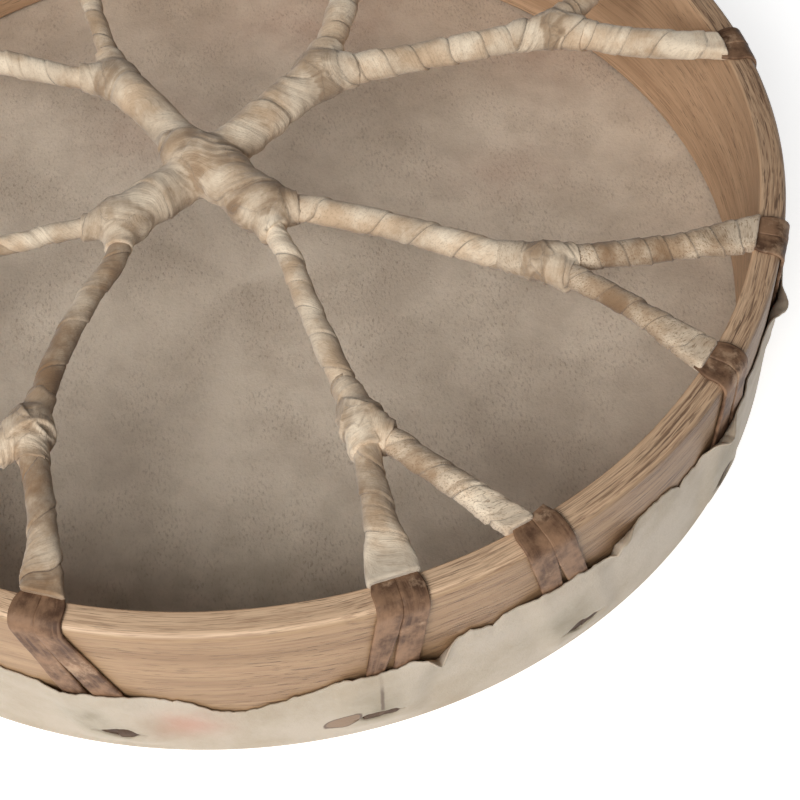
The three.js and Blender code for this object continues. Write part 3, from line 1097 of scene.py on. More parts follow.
@dataclass
class Fork:
    """Where wound limbs join: their branches under one skin of leather strips."""

    name: str
    branches: list[Branch]
    grid: float = 0.7 * MM
    softness: float = 1.6 * MM
    crumple: float = 0.35 * MM
    seed: int = 1
    rounds: int = 4
    probe: float = 0.05 * MM

    def _field(self, points: Rows) -> tuple[Rows, Rows, list[Rows]]:
        """Soft union of the branches at some points.

        Args:
            points: Rows of places.

        Returns:
            Distances outside, the share of each branch, and places on each branch.
        """
        places, distances = zip(*(branch.local(points) for branch in self.branches))
        stacked = np.stack(distances)
        nearest = stacked.min(axis=0)
        shares = np.exp((nearest - stacked) / self.softness)
        total = shares.sum(axis=0)
        return nearest - self.softness * np.log(total), shares / total, list(places)

    def build(self, finish: Material) -> Mesh:
        """Makes the fork.

        Args:
            finish: Its material.

        Returns:
            A closed mesh with its marks.
        """
        raw = joined([branch.shell() for branch in self.branches], self.name)
        piece = linked(self.name, raw)
        remesh = piece.modifiers.new("one_shell", "REMESH")
        remesh.mode = "VOXEL"
        remesh.voxel_size = self.grid
        remesh.use_smooth_shade = True
        mesh = settled(piece)
        points = mesh_points(mesh)
        for _ in range(self.rounds):
            distance, _, _ = self._field(points)
            nearby = (self._field(points + self.probe * axis)[0] for axis in np.eye(3))
            slope = columns(*(value - distance for value in nearby)) / self.probe
            steep = np.maximum((slope**2).sum(axis=1), 0.2)
            points = points - slope * (distance / steep)[:, None]
        set_points(mesh, points)
        normals = vectors(mesh.vertex_normals, "vector")
        _, shares, places = self._field(points)
        height, hollow_shade, line = np.zeros((3, len(points)))
        turns = np.zeros((len(points), 2))
        strips, tone = np.zeros((2, len(points), 3))
        lead = shares.argmax(axis=0)
        for number, (branch, share, place) in enumerate(zip(self.branches, shares, places)):
            angle = np.arctan2(place[:, 2], place[:, 1])
            wrap = branch.winding.cover(place[:, 0], angle, branch.start_girth, points)
            height += share * wrap.height
            hollow_shade += share * wrap.hollow_shade
            turns += share[:, None] * wrap.turns
            strips[lead == number] = wrap.strip[lead == number]
            tone += share[:, None] * wrap.tone
            line += share * branch.winding.line
        ridges = 0.5 - np.abs(lattice_noise(points * 170, self.seed + 3))
        height += self.crumple * (layered_noise(points * 95, 3, self.seed) + 0.8 * ridges)
        between = 1 - smooth_rise(0.55, 0.9, shares.max(axis=0))
        set_points(mesh, points + normals * height[:, None])
        depth = np.clip(np.hypot(turns[:, 0], turns[:, 1]) * 2 - 1, 0, 1) * line
        # Painted shade between the branches and in hollows, less on ridges.
        hollow_shade = np.clip(hollow_shade + 0.6 * between - 0.3 * ridges, 0, 1)
        Winding.mark(mesh, Wrap(strips, turns, height, hollow_shade, tone), depth)
        return finished(mesh, finish)


@dataclass
class Hoop:
    """Ring of bent wood with rounded edges."""

    stations: int = 720
    edge_steps: int = 7
    waver: float = 0.35 * MM
    waver_seed: int = 5
    roundings: tuple[float, ...] = (RIM_ROUNDING, RIM_ROUNDING, 0.8 * MM, FOOT_ROUNDING)

    def build(self, sweep: Sweep, finish: Material) -> Object:
        """Makes the hoop.

        Args:
            sweep: The tree that carries its section round.
            finish: Its material.

        Returns:
            The piece.
        """
        half_wall, half_depth = HOOP_WALL / 2, HOOP_DEPTH / 2
        corners = ((1, 1), (-1, 1), (-1, -1), (1, -1))
        profile = []
        for number, ((side, top), rounding) in enumerate(zip(corners, self.roundings)):
            for step in range(self.edge_steps):
                turn = math.radians(90 * (number + step / (self.edge_steps - 1)))
                profile.append([
                    side * (half_wall - rounding) + rounding * math.cos(turn),
                    top * (half_depth - rounding) + rounding * math.sin(turn),
                ])
        angles = TURN * np.arange(self.stations) / self.stations
        out = ring_points(angles, 1, 0)
        middle = out * (HOOP_RADIUS - half_wall) + [0, 0, HOOP_FOOT + half_depth]
        mesh, ring = sweep.run(middle, out, np.array(profile), (1.0, 1.0), finish, closed=True)
        points = mesh_points(mesh)
        centre = middle[ring]
        offset = points - centre
        side = (offset * out[ring]).sum(axis=1)
        top = offset[:, 2]
        wave = lattice_noise(columns(*(out[ring][:, :2] * 4).T, top * 20), self.waver_seed)
        upper = smooth_rise(0, half_depth, top)
        side = side + self.waver * wave * upper * (side < 0)
        set_points(mesh, centre + out[ring] * side[:, None] + np.outer(top, UP))
        face_outwards(mesh)
        return linked("bent_hoop", mesh)


@dataclass(frozen=True)
class Pass:
    """One pair of straps: where it meets the web and its slot, and how its two straps lie."""

    number: int
    leg_angle: float
    low_gap: float = 3.0
    low_widths: tuple[float, float] = (8.8, 9.2)
    slot_shift: float = 0.0

    @property
    def slot_angle(self) -> float:
        """Angle of the middle of the pair's slot."""
        return FIRST_SLOT_ANGLE + self.number * PASS_ANGLE + self.slot_shift

    def middle_angle(self, height: Rows) -> Rows:
        """Angle of the middle of the pair at a height on the hoop's wall."""
        fall = np.clip((HOOP_TOP - height) / (HOOP_TOP - SLOT_HEIGHT), 0, 1)
        return self.leg_angle + angle_between(self.slot_angle, self.leg_angle) * fall


@dataclass
class RimLace:
    """The two flat straps of one pass, from the web over the rim and down to the slot."""

    lace: Pass
    tuck: float = 2 * MM
    inner_share: float = 0.74
    inner_length: float = 4 * MM
    stagger: float = 0.2 * MM
    slot_swell: float = 1.6 * MM
    slot_swell_height: float = 5 * MM
    roughness: float = 0.12 * MM
    unevenness: float = 0.04
    tail: float = 5 * MM
    spacing: float = 1.3 * MM
    facets: int = 9

    def _profile(self) -> Rows:
        """Flat bar of unit width and thickness with rounded edges."""
        flat = np.linspace(-0.44, 0.44, self.facets)
        edge = [(0.48, 0.42), (0.5, 0.0), (0.48, -0.42)]
        top = [(x, 0.5) for x in flat]
        bottom = [(x, -0.5) for x in flat[::-1]]
        return np.array([*top, *edge, *bottom, *[(-x, -y) for x, y in edge]])

    def _route(self, side: int) -> tuple[Rows, Rows, Rows, Rows]:
        """Middle line of one strap.

        Args:
            side: -1 or 1, the strap on the one or the other side of the pair.

        Returns:
            Points of the line, the way across and out of the wood, and the width at each.
        """
        lace = self.lace
        bend = HOOP_RADIUS - RIM_ROUNDING
        crown = HOOP_TOP - RIM_ROUNDING
        flat = np.arange(INSIDE_RADIUS - self.tuck, bend, self.spacing)
        turns = np.linspace(90, 0, 9)
        wall = np.arange(crown, SLOT_HEIGHT - self.tail, -self.spacing)[1:]
        on_top, on_wall = np.ones(len(flat)), np.ones(len(wall))
        bent = np.radians(turns)
        radius = np.concatenate([flat, bend + RIM_ROUNDING * np.cos(bent), on_wall * HOOP_RADIUS])
        height = np.concatenate([on_top * HOOP_TOP, crown + RIM_ROUNDING * np.sin(bent), wall])
        normal = np.radians(np.concatenate([on_top * 90.0, turns, on_wall * 0.0]))
        fall = np.clip((HOOP_TOP - height) / (HOOP_TOP - SLOT_HEIGHT), 0, 1.1)
        low_width = lace.low_widths[0 if side < 0 else 1] * MM
        width = np.interp(fall, [0, 0.12, 0.62, 1], [STRAP_WIDTH, STRAP_WIDTH, low_width, low_width])
        inner_end = [INSIDE_RADIUS - self.tuck, INSIDE_RADIUS + self.inner_length]
        width = width * np.interp(radius, inner_end, [self.inner_share, 1])
        gap = np.interp(fall, [0, 0.2, 0.62, 0.85, 1.1], [-0.3, 0.2, lace.low_gap, 0, -2]) * MM
        aside = side * (width + gap) / 2
        leaning = angle_between(lace.slot_angle, lace.leg_angle) * fall
        angle = np.radians(lace.leg_angle + leaning) + aside / radius
        lift = FIT_GAP + STRAP_THICKNESS / 2 + (self.stagger if side > 0 else 0)
        lift = (lift + self.slot_swell * bell(height - SLOT_HEIGHT, self.slot_swell_height))[:, None]
        out = ring_points(angle, np.cos(normal), np.sin(normal))
        points = ring_points(angle, radius, height) + out * lift
        forwards = unit(np.gradient(points, axis=0))
        return points, unit(np.cross(out, forwards)), out, width

    def build(self, sweep: Sweep, finish: Material) -> Object:
        """Makes the pair.

        Args:
            sweep: The tree that carries the straps' section along them.
            finish: Their material.

        Returns:
            The piece.
        """
        straps = []
        for side in (-1, 1):
            route, across, out, widths = self._route(side)
            size = (STRAP_WIDTH, STRAP_THICKNESS)
            mesh, ring = sweep.run(route, across, self._profile(), size, finish)
            points = mesh_points(mesh)
            offset = points - route[ring]
            over = (offset * out[ring]).sum(axis=1)
            aside = (offset * across[ring]).sum(axis=1)
            seed = self.lace.number * 10 + side
            run = run_along(route)[ring]
            uneven = 1 + self.unevenness * lattice_noise(columns(run * 60, 0, 0), seed + 50)
            width = (aside * (widths[ring] / STRAP_WIDTH * uneven))[:, None]
            rough = layered_noise(columns(run * 150, aside * 500, 0), 2, seed)
            over = over + np.where(over > 0, self.roughness * rough, 0)
            set_points(mesh, route[ring] + across[ring] * width + out[ring] * over[:, None])
            set_mark(mesh, Marks.LIMB, columns(run + seed * 0.31, aside, over))
            face_outwards(mesh)
            straps.append(mesh)
        mesh = finished(joined(straps, "laces"), finish)
        return linked(f"lace_pair_{self.lace.number + 1:02d}", mesh)


@dataclass(frozen=True)
class StainAndShade:
    """A soft spot on the skin at an angle and a height, or on the head at a place; most are stains, those
    over the head's front part are painted shade.
    """

    x: float
    y: float
    spread_x: float
    spread_y: float
    strength: float


@dataclass(frozen=True)
class Curl:
    """A flap of the torn edge that bends away from the hoop."""

    angle: float
    width: float
    reach: float
    bend: float


@dataclass
class DrumSkin:
    """One rawhide sheet: the head and the torn edge turned up round the hoop."""

    passes: list[Pass]
    sectors: int = 960
    head_rings: int = 34
    low_rows: int = 7
    high_rows: int = 20
    foot_steps: int = 5
    slot_half: float = 7.6 * MM
    slot_open: float = 3.3 * MM
    slot_reach: float = 10 * MM
    slot_cut: float = 0.12 * MM
    slot_give: float = 9 * MM
    strap_clearance: float = 0.5 * MM
    edge_pull: float = 0.85 * MM
    edge_share: float = 0.35
    edge_band: float = 7 * MM
    free_edge: float = 45 * MM
    tear_waves: float = 2.2 * MM
    notches: float = 0.7 * MM
    nicks: float = 0.6 * MM
    seen_from: tuple[float, float] = (-119, -113)
    seen_to: tuple[float, float] = (-34, -29)
    lift_angles: tuple[float, float] = (2.6, 5.4)
    lift_heights: tuple[float, float] = (5 * MM, 13 * MM)
    head_swell: float = 0.45 * MM
    head_gap: float = 6.5 * MM
    ripple: float = 0.28 * MM
    torn_edge: tuple[tuple[float, float], ...] = (
        (-117, 40.3), (-114.6, 41.9), (-111, 40.5), (-105.8, 41.9), (-102.9, 40), (-99.8, 38),
        (-97.9, 33.1), (-96.3, 30.8), (-95, 30.1), (-93.1, 32.7), (-90.5, 36.8), (-87.3, 40.9),
        (-86.3, 43.1), (-84.4, 44.5), (-80.7, 44.7), (-79.5, 46.7), (-78.1, 47.7), (-77.1, 44.2),
        (-76.1, 48.8), (-73.9, 50.5), (-71.6, 47.8), (-70.3, 50.8), (-66.8, 52.9), (-62.5, 52.6),
        (-59.4, 49.8), (-58.2, 50.6), (-57.7, 57.1), (-55.3, 55.7), (-52.8, 56.9), (-50.1, 54.9),
        (-48.2, 49), (-47.5, 51.5), (-45.4, 50.5), (-44.9, 52.7), (-42.6, 55.4), (-40.9, 54.4),
        (-37.3, 54.4), (-33.8, 53), (-29.3, 44.8),
    )
    curls: tuple[Curl, ...] = (
        Curl(-24.2, 1.7, 7 * MM, 110), Curl(-77.2, 1.3, 6 * MM, 100), Curl(-57.4, 1.5, 6 * MM, 95),
        Curl(-41.6, 1.9, 6 * MM, 105), Curl(-9, 1.7, 5 * MM, 70), Curl(20, 2.5, 7 * MM, 90),
        Curl(75, 3.0, 8 * MM, 120), Curl(141, 2.6, 8 * MM, 80), Curl(-160, 2.4, 7 * MM, 100),
    )
    wall_blush: tuple[StainAndShade, ...] = (StainAndShade(-100.2, 24 * MM, 3.2, 9 * MM, 0.52),)
    wall_moss: tuple[StainAndShade, ...] = (
        StainAndShade(-109.4, 25 * MM, 2.4, 9 * MM, 0.95), StainAndShade(-83.5, 26 * MM, 3.0, 9 * MM, 0.6),
        StainAndShade(-64, 28 * MM, 3.2, 9 * MM, 0.75), StainAndShade(-40, 32 * MM, 3.0, 9 * MM, 0.5),
        StainAndShade(-77.5, 34 * MM, 1.6, 8 * MM, 0.35),
    )
    head_blush: tuple[StainAndShade, ...] = (
        StainAndShade(0.125, 0.045, 0.026, 0.016, 0.17), StainAndShade(0.16, 0.12, 0.035, 0.03, 0.16),
        StainAndShade(-0.03, 0.10, 0.03, 0.025, 0.16), StainAndShade(0.05, 0.16, 0.05, 0.02, 0.22),
    )
    # Painted shade on the head inside the near wall, where the wall's shadow falls.
    head_painted_shade: tuple[StainAndShade, ...] = (
        StainAndShade(-0.05, -0.195, 0.15, 0.06, 0.6), StainAndShade(-0.16, -0.13, 0.06, 0.06, 0.3))

    def _edge_height(self, angle: Rows) -> Rows:
        """Height of the torn edge at angles in degrees."""
        waves = np.ones_like(angle)
        for share, count, shift in ((0.18, 1, 55), (0.09, 3, 50), (0.025, 11, 20)):
            waves += share * np.cos(np.radians(count * (angle + shift)))
        ring = ring_points(np.radians(angle), 9, 0)
        free = self.free_edge * waves + self.tear_waves * layered_noise(ring, 3, 11)
        seen_angle, seen_height = np.array(self.torn_edge).T
        seen = np.interp(angle, seen_angle, seen_height) * MM
        share = smooth_rise(*self.seen_from, angle) * (1 - smooth_rise(*self.seen_to, angle))
        notches = self.notches * layered_noise(ring * 12, 3, 12)
        nicks = self.nicks * layered_noise(ring * 3.5, 2, 13)
        return free * (1 - share) + seen * share + (notches + nicks)

    def _lift(self, angle: Rows, height: Rows) -> Rows:
        """How far the skin stands off the hoop over the straps and between them."""
        lift = np.zeros_like(angle)
        for lace in self.passes:
            away = np.abs(angle_between(angle, lace.middle_angle(height)))
            lift = np.maximum(lift, 1 - smooth_rise(*self.lift_angles, away))
        low = smooth_rise(*self.lift_heights, height)
        return (STRAP_THICKNESS + self.strap_clearance) * lift * low

    def _bent_up(self, angle: Rows, height: Rows, edge: Rows) -> tuple[Rows, Rows]:
        """Bends the flaps of the torn edge outwards.

        Args:
            angle: Angles in degrees.
            height: Heights before bending.
            edge: Heights of the torn edge at the angles.

        Returns:
            Distances outwards, and the new heights.
        """
        out = np.zeros_like(angle)
        for curl in self.curls:
            turn = math.radians(curl.bend) * bell(angle_between(angle, curl.angle), curl.width)
            run = np.clip(height - (edge - curl.reach), 0, None)
            tight = curl.reach / np.maximum(turn, 0.02)
            out += np.where(turn > 0.02, tight * (1 - np.cos(run / tight)), 0)
            height = np.where(turn > 0.02, height - run + tight * np.sin(run / tight), height)
        return out, height

    def _gape(self, angles: Rows) -> Rows:
        """Half the height of the slot that is open at each angle, 0 beside the slots."""
        gape = np.zeros_like(angles)
        for lace in self.passes:
            away = np.abs(angle_between(angles, lace.slot_angle)) * math.radians(1) * HOOP_RADIUS
            uneven = 1 + 0.5 * lattice_noise(columns(angles * 0.9, 0, 0), 15)
            lens = self.slot_open * uneven * np.clip(1 - (away / self.slot_half) ** 2, 0, 1)
            gape = np.maximum(gape, np.maximum(lens, self.slot_cut * (away < self.slot_reach)))
        return gape

    def _wall(self) -> tuple[Rows, list[list[int]], list[list[int]]]:
        """Points of the turned-up wall, and the rows' vertex numbers seen from below and above."""
        angles = -180 + 360 * np.arange(self.sectors) / self.sectors
        edge = self._edge_height(angles)
        gape = self._gape(angles)
        bend = FOOT_ROUNDING + SKIN_THICKNESS
        points: list[Rows] = []
        upper: list[list[int]] = []
        lower: list[list[int]] = []

        def add_points(height: Rows | float, radius: Rows | float, picked: Rows) -> list[int]:
            """Adds the picked points of one row and gives their numbers, -1 for the others."""
            numbers = np.full(self.sectors, -1)
            numbers[picked] = len(points) + np.arange(picked.sum())
            points.extend(ring_points(np.radians(angles), radius, height)[picked])
            return numbers.tolist()

        def add_row(height: Rows | float, radius: Rows | float) -> None:
            """Adds a whole row."""
            row = add_points(height, radius, np.ones(self.sectors, bool))
            upper.append(row)
            lower.append(row)

        def pull(level: Rows | float) -> Rows | float:
            """Share of the slot's opening that reaches a level."""
            return np.clip(1 - np.abs(level - SLOT_HEIGHT) / self.slot_give, 0, 1) ** 2

        for step in range(self.foot_steps + 1):
            turn = math.radians(90 * step / self.foot_steps)
            add_row(bend * (1 - math.cos(turn)), SKIN_OUTSIDE - bend + bend * math.sin(turn))
        for step in range(1, self.low_rows + 1):
            level = bend + (SLOT_HEIGHT - bend) * (step / self.low_rows)
            height = level - gape * pull(level)
            add_row(height, SKIN_OUTSIDE + self._lift(angles, height))
        height = SLOT_HEIGHT + gape
        split = add_points(height, SKIN_OUTSIDE + self._lift(angles, height), gape > 0)
        upper[-1] = [new if new >= 0 else old for new, old in zip(split, upper[-1])]
        for step in range(1, self.high_rows + 1):
            level = SLOT_HEIGHT + (edge - SLOT_HEIGHT) * (1 - (1 - step / self.high_rows) ** 1.25)
            height = level + gape * pull(level)
            radius = SKIN_OUTSIDE + self._lift(angles, height)
            out, height = self._bent_up(angles, height, edge)
            add_row(height, radius + out)
        return np.array(points), lower, upper

    def _head(self, ring: list[int], total: int) -> tuple[list[Rows], list[tuple[int, ...]]]:
        """Rings of the flat head, with fewer points further in.

        Args:
            ring: Vertex numbers of the wall's lowest row.
            total: Number of points that the wall has.

        Returns:
            The head's points, ring by ring, and its faces.
        """
        rows: list[Rows] = []
        faces: list[tuple[int, ...]] = []
        inner_radius = SKIN_OUTSIDE - FOOT_ROUNDING - SKIN_THICKNESS
        count = self.sectors
        for step in range(1, self.head_rings + 1):
            radius = inner_radius * (1 - step / (self.head_rings + 1))
            crowded = count * self.head_gap * 0.5 > TURN * radius * 1.6
            fewer = count // 2 if crowded and count % 2 == 0 and count > 30 else count
            rows.append(ring_points(-math.pi + TURN * np.arange(fewer) / fewer, radius, 0))
            fresh = list(range(total, total + fewer))
            total += fewer
            ratio = count // fewer
            for column in range(fewer):
                outer = [ring[(column * ratio + k) % count] for k in range(ratio + 1)]
                faces.append((fresh[column], fresh[(column + 1) % fewer], outer[-1], *outer[-2::-1]))
            ring, count = fresh, fewer
        rows.append(np.zeros((1, 3)))
        faces.extend((total, ring[(column + 1) % count], ring[column]) for column in range(count))
        return rows, faces

    def _relief(self, points: Rows) -> tuple[Rows, Rows]:
        """Makes the head swell and the wall ripple, and draws the torn edge in.

        Args:
            points: Rows of the even skin's points.

        Returns:
            The points in their new places, and the share of the full thickness at each.
        """
        radius = np.hypot(points[:, 0], points[:, 1])
        inland = smooth_rise(SKIN_OUTSIDE, SKIN_OUTSIDE - 20 * MM, radius) * (points[:, 2] < 1 * MM)
        swell = layered_noise(points * [16, 16, 0], 3, 31)
        points[:, 2] += self.head_swell * inland * (0.6 + swell * 0.5).clip(0, 1)
        wall = points[:, 2] > 6 * MM
        ripple = layered_noise(points * 60, 2, 33) * self.ripple * wall
        edge = self._edge_height(np.degrees(np.arctan2(points[:, 1], points[:, 0])))
        thin = np.where(wall, smooth_rise(0, self.edge_band, edge - points[:, 2]), 1)
        outwards = (ripple - self.edge_pull * (1 - thin))[:, None]
        return points + unit(points * [1, 1, 0]) * outwards, thin

    def build(self, finish: Material) -> Object:
        """Makes the skin.

        Args:
            finish: Its material.

        Returns:
            The piece.
        """
        points, lower, upper = self._wall()
        count = self.sectors
        faces = [
            (low[column], low[(column + 1) % count], high[(column + 1) % count], high[column])
            for low, high in zip(upper, lower[1:])
            for column in range(count)
        ]
        rows, head_faces = self._head(upper[0], len(points))
        points, thin = self._relief(np.vstack([points, *rows]))
        piece = linked("drum_rawhide", mesh_of("skin", points, faces + head_faces))
        group = piece.vertex_groups.new(name="gauge")
        for number in np.flatnonzero(thin < 1):
            share = self.edge_share + (1 - self.edge_share) * float(thin[number])
            group.add([int(number)], share, "REPLACE")
        group.add(np.flatnonzero(thin >= 1).tolist(), 1.0, "REPLACE")
        wall = piece.modifiers.new("wall", "SOLIDIFY")
        wall.thickness = SKIN_THICKNESS
        wall.offset = -1
        wall.use_even_offset = False
        wall.vertex_group = group.name
        mesh = finished(settled(piece), finish)
        self._stain_and_shade(mesh)
        return linked("drum_rawhide", mesh)

    def _stain_and_shade(self, mesh: Mesh) -> None:
        """Marks where the skin is stained, where shade is painted on the head by the near wall, and which
        side of it is inside.
        """
        east, north, height = mesh_points(mesh).T
        angle = np.degrees(np.arctan2(north, east))
        on_head = np.hypot(east, north) < INSIDE_RADIUS + 2 * MM
        inside = (on_head & (height > 0.9 * MM)).astype(float)
        blush, moss_and_shade = np.zeros((2, len(east)))
        at_slots = (StainAndShade(lace.slot_angle, SLOT_HEIGHT, 1.9, 5 * MM, 0.75) for lace in self.passes)
        for stains, total in ((self.wall_blush, blush), ((*self.wall_moss, *at_slots), moss_and_shade)):
            for stain in stains:
                aside = angle_between(angle, stain.x) / stain.spread_x
                away = np.hypot(aside, (height - stain.y) / stain.spread_y)
                total += stain.strength * bell(away, 1.0) * ~on_head
        for stains, total in ((self.head_blush, blush), (self.head_painted_shade, moss_and_shade)):
            for stain in stains:
                away = np.hypot((east - stain.x) / stain.spread_x, (north - stain.y) / stain.spread_y)
                total += stain.strength * bell(away, 1.0) * inside
        set_mark(mesh, Marks.STAIN_AND_SHADE, columns(blush.clip(0, 1), moss_and_shade.clip(0, 1), inside))


@dataclass(frozen=True)
class ThickArm:
    """One of the four thick arms of the hub, out to its fork; sizes in millimetres."""

    radius: float
    angle: float
    girth: float
    bulge: float
    lift: float = 0.0
    warmth: float = 0.35

    @property
    def place(self) -> Rows:
        """Where the arm forks."""
        return web_place(self.radius, self.angle)


@dataclass(frozen=True)
class ThinArm:
    """One of the eight arms from a thick arm's fork to its own knot; sizes in millimetres."""

    thick: int
    girth: float
    radius: float
    angle: float
    knot: float
    bends: tuple[tuple[float, float], ...]
    pitch: float
    warmth: float
    greyness: float = 0.0
    suede: float = 0.1

    @property
    def place(self) -> Rows:
        """Middle of the arm's knot."""
        return web_place(self.radius, self.angle)


@dataclass(frozen=True)
class Leg:
    """One of the sixteen wound strands from a knot to the rim; sizes in millimetres."""

    arm: int
    girth: float
    angle: float
    bends: tuple[tuple[float, float], ...] = ()
    pitch: float = 17.0
    fold: float = 0.5
    warmth: float = 0.3
    greyness: float = 0.0
    straps: tuple = ()
    suede: float = 0.1
    end_width: float = 16.0
    lean: float = 0.0

    @property
    def end_angle(self) -> float:
        """Angle of the leg's end at the rim, in degrees."""
        return rim_angle(INSIDE_RADIUS / MM, self.angle)


def wound(seed: int, **given: float) -> Winding:
    """Winding with its own phase and hand from a seed."""
    draw = np.random.default_rng(seed)
    phase = float(draw.random())
    return Winding(phase=phase, hand=1 if draw.random() < 0.5 else -1, seed=seed * 13, **given)


def stub(places: list[Rows], length: float, girth: float, winding: Winding) -> Branch:
    """Short flared sleeve from the first of some places towards the second; its length in millimetres."""
    start, forwards = places[0], unit(places[1] - places[0])
    return Branch(start, start + forwards * length * MM, girth * STUB_FLARE, girth, winding, cut=True)


@dataclass
class HandWeb:
    """The whole wound web: hub, arms with their knots, and legs."""

    hub_radius: float = 9.6
    hub_angle: float = 198.0
    hub_girth: float = 25.0
    hub_height: float = 1.5 * MM
    arm_start: float = 5 * MM
    leg_start: float = 4 * MM
    leg_reach: float = 0.5 * MM
    hub_stub: float = 16
    knot_stub: float = 15
    knot_reach: float = 0.14
    knot_girth: float = 0.84
    band_width: float = 8 * MM
    band_slant: tuple[float, float, float] = (0.72, 0.62, 0.3)
    band_girths: tuple[float, float] = (1.1, 1.17)
    end_thickness: float = 6 * MM
    sleeve: float = 1.3 * MM
    thick_arms: tuple[ThickArm, ...] = (
        ThickArm(31.2, -70.5, 21, 23, 1), ThickArm(59.2, 43.8, 17.5, 21.5, 0, 0.4),
        ThickArm(65.8, 128.3, 15.5, 18, 1, 0.45), ThickArm(51.8, -147.8, 18.5, 21, 0, 0.5),
    )
    thin_arms: tuple[ThinArm, ...] = (
        ThinArm(
            0, 11, 137, -33.8, 16,
            ((42.2, -51.4), (61.1, -42.3), (81.2, -38.2), (102, -36.6), (122.4, -35.3)), 21, 0.34, 0, 0.3),
        ThinArm(0, 9.4, 144.6, -75.8, 18, ((60, -72), (89.1, -74.5)), 15, 0.12),
        ThinArm(1, 12.2, 154.6, 19.5, 18, ((89.6, 29.5), (114.4, 24.1)), 13, 0.1),
        ThinArm(1, 12.4, 152.1, 60, 17, ((86.3, 51.7), (105.1, 55)), 15, 0.35),
        ThinArm(2, 8.6, 148.7, 111, 17, ((97.2, 118.6), (116.7, 115.2)), 17, 0.5),
        ThinArm(2, 9.8, 147.8, 145, 17, ((88.4, 137.1), (115.5, 141)), 19, 0.2),
        ThinArm(3, 7.8, 149.9, -164, 17, ((74.7, -156.6), (98.1, -160)), 20, 0.4),
        ThinArm(3, 8.8, 151, -123.8, 20, ((67.9, -134.8), (84, -132.6), (114.3, -128.5)), 19, 1.0),
    )
    legs: tuple[Leg, ...] = (
        Leg(0, 9.8, -38.6, ((172.9, -35.6), (191.2, -37.1)), 13, 0.35, 0.7, 0, (5, (11.5, 9.5)), 0.9, 14),
        Leg(0, 10.4, -20.9, ((172.4, -27), (193.8, -23.7)), 9.5, 0.3, 0.8, 0, (), 0.9, 15.5),
        Leg(2, 12, 7.8, ((184.3, 11.6),), 15, 0.25, 0.05, 0, (), 0, 12.5),
        Leg(2, 10.4, 27), Leg(3, 10.2, 53.6), Leg(3, 9.8, 70.4),
        Leg(4, 9.6, 98.6), Leg(4, 10.4, 116.6), Leg(5, 9.8, 142.4), Leg(5, 10.2, 160.2),
        Leg(6, 9.6, -171.6), Leg(6, 10, -154.8), Leg(7, 9.4, -130.3),
        Leg(7, 9.4, -112.6, ((183.6, -116),), 22, 0.8, 0.8, 0, (3.1, (8.6, 11.2)), 0.1, 15),
        Leg(1, 10.7, -79.8, ((171, -77.9), (196.4, -79.2)), 18, 0.4, 0.4, 0.45, (3.4, (6.6, 9.2), 1.3),
            0.1, 19),
        Leg(1, 10.6, -65.4, ((183, -69.8),), 17, 0.45, 0.42, 0, (3.9, (8, 8)), 0.7, 11.5, -1.3),
    )

    def _arm_places(self, arm: ThinArm) -> list[Rows]:
        """Places along a thin arm, from the thick arm's fork to its knot."""
        return [self.thick_arms[arm.thick].place, *(web_place(*bend) for bend in arm.bends), arm.place]

    def _leg_places(self, leg: Leg) -> list[Rows]:
        """Places along a leg, from its knot to its flat end at the rim."""
        end = around(INSIDE_RADIUS + self.leg_reach, leg.end_angle + leg.lean, STRAP_MIDDLE)
        return [self.thin_arms[leg.arm].place, *(web_place(*bend) for bend in leg.bends), end]

    def hub(self, finish: Material) -> Object:
        """Makes the hub and its four thick arms.

        Args:
            finish: Its material.

        Returns:
            The piece.
        """
        middle = web_place(self.hub_radius, self.hub_angle)
        raised = middle + [0, 0, self.hub_height]
        wind = wound(
            100, pitch=30 * MM, lap=0.9 * MM, wrinkle=0.1 * MM, fold=0.9 * MM, wobble=0.3, line=0.5)
        girth = self.hub_girth * MM
        far, near = raised + [-7 * MM, 7 * MM, 0], raised + [8 * MM, -9 * MM, 0]
        branches = [Branch(far, near, girth * 0.84, girth * 0.9, wind, 0.86)]
        for number, arm in enumerate(self.thick_arms):
            end = arm.place + [0, 0, arm.lift * MM]
            wind = wound(
                110 + number, pitch=31 * MM, lap=0.8 * MM, fold=0.9 * MM, wobble=0.4, line=0.5,
                warmth=arm.warmth)
            start = raised if arm.lift else middle - [0, 0, self.hub_height]
            branches.append(Branch(start, end, (arm.girth + 1) * MM, arm.girth * MM, wind, 0.92))
            bulge = arm.bulge * MM
            branches.append(Branch(end, end + [0.5 * MM, 0, 0], bulge, bulge, wind, 0.75))
        for number, arm in enumerate(self.thin_arms):
            wind = wound(120 + number, pitch=20 * MM, lap=0.7 * MM, fold=0.8 * MM)
            thick = arm.girth * MM + 2 * self.sleeve
            branches.append(stub(self._arm_places(arm), self.hub_stub, thick, wind))
        fork = Fork("hub_wrap_leather", branches, 0.7 * MM, 1.3 * MM, 0.3 * MM, seed=3)
        return linked("hub_leather", fork.build(finish))

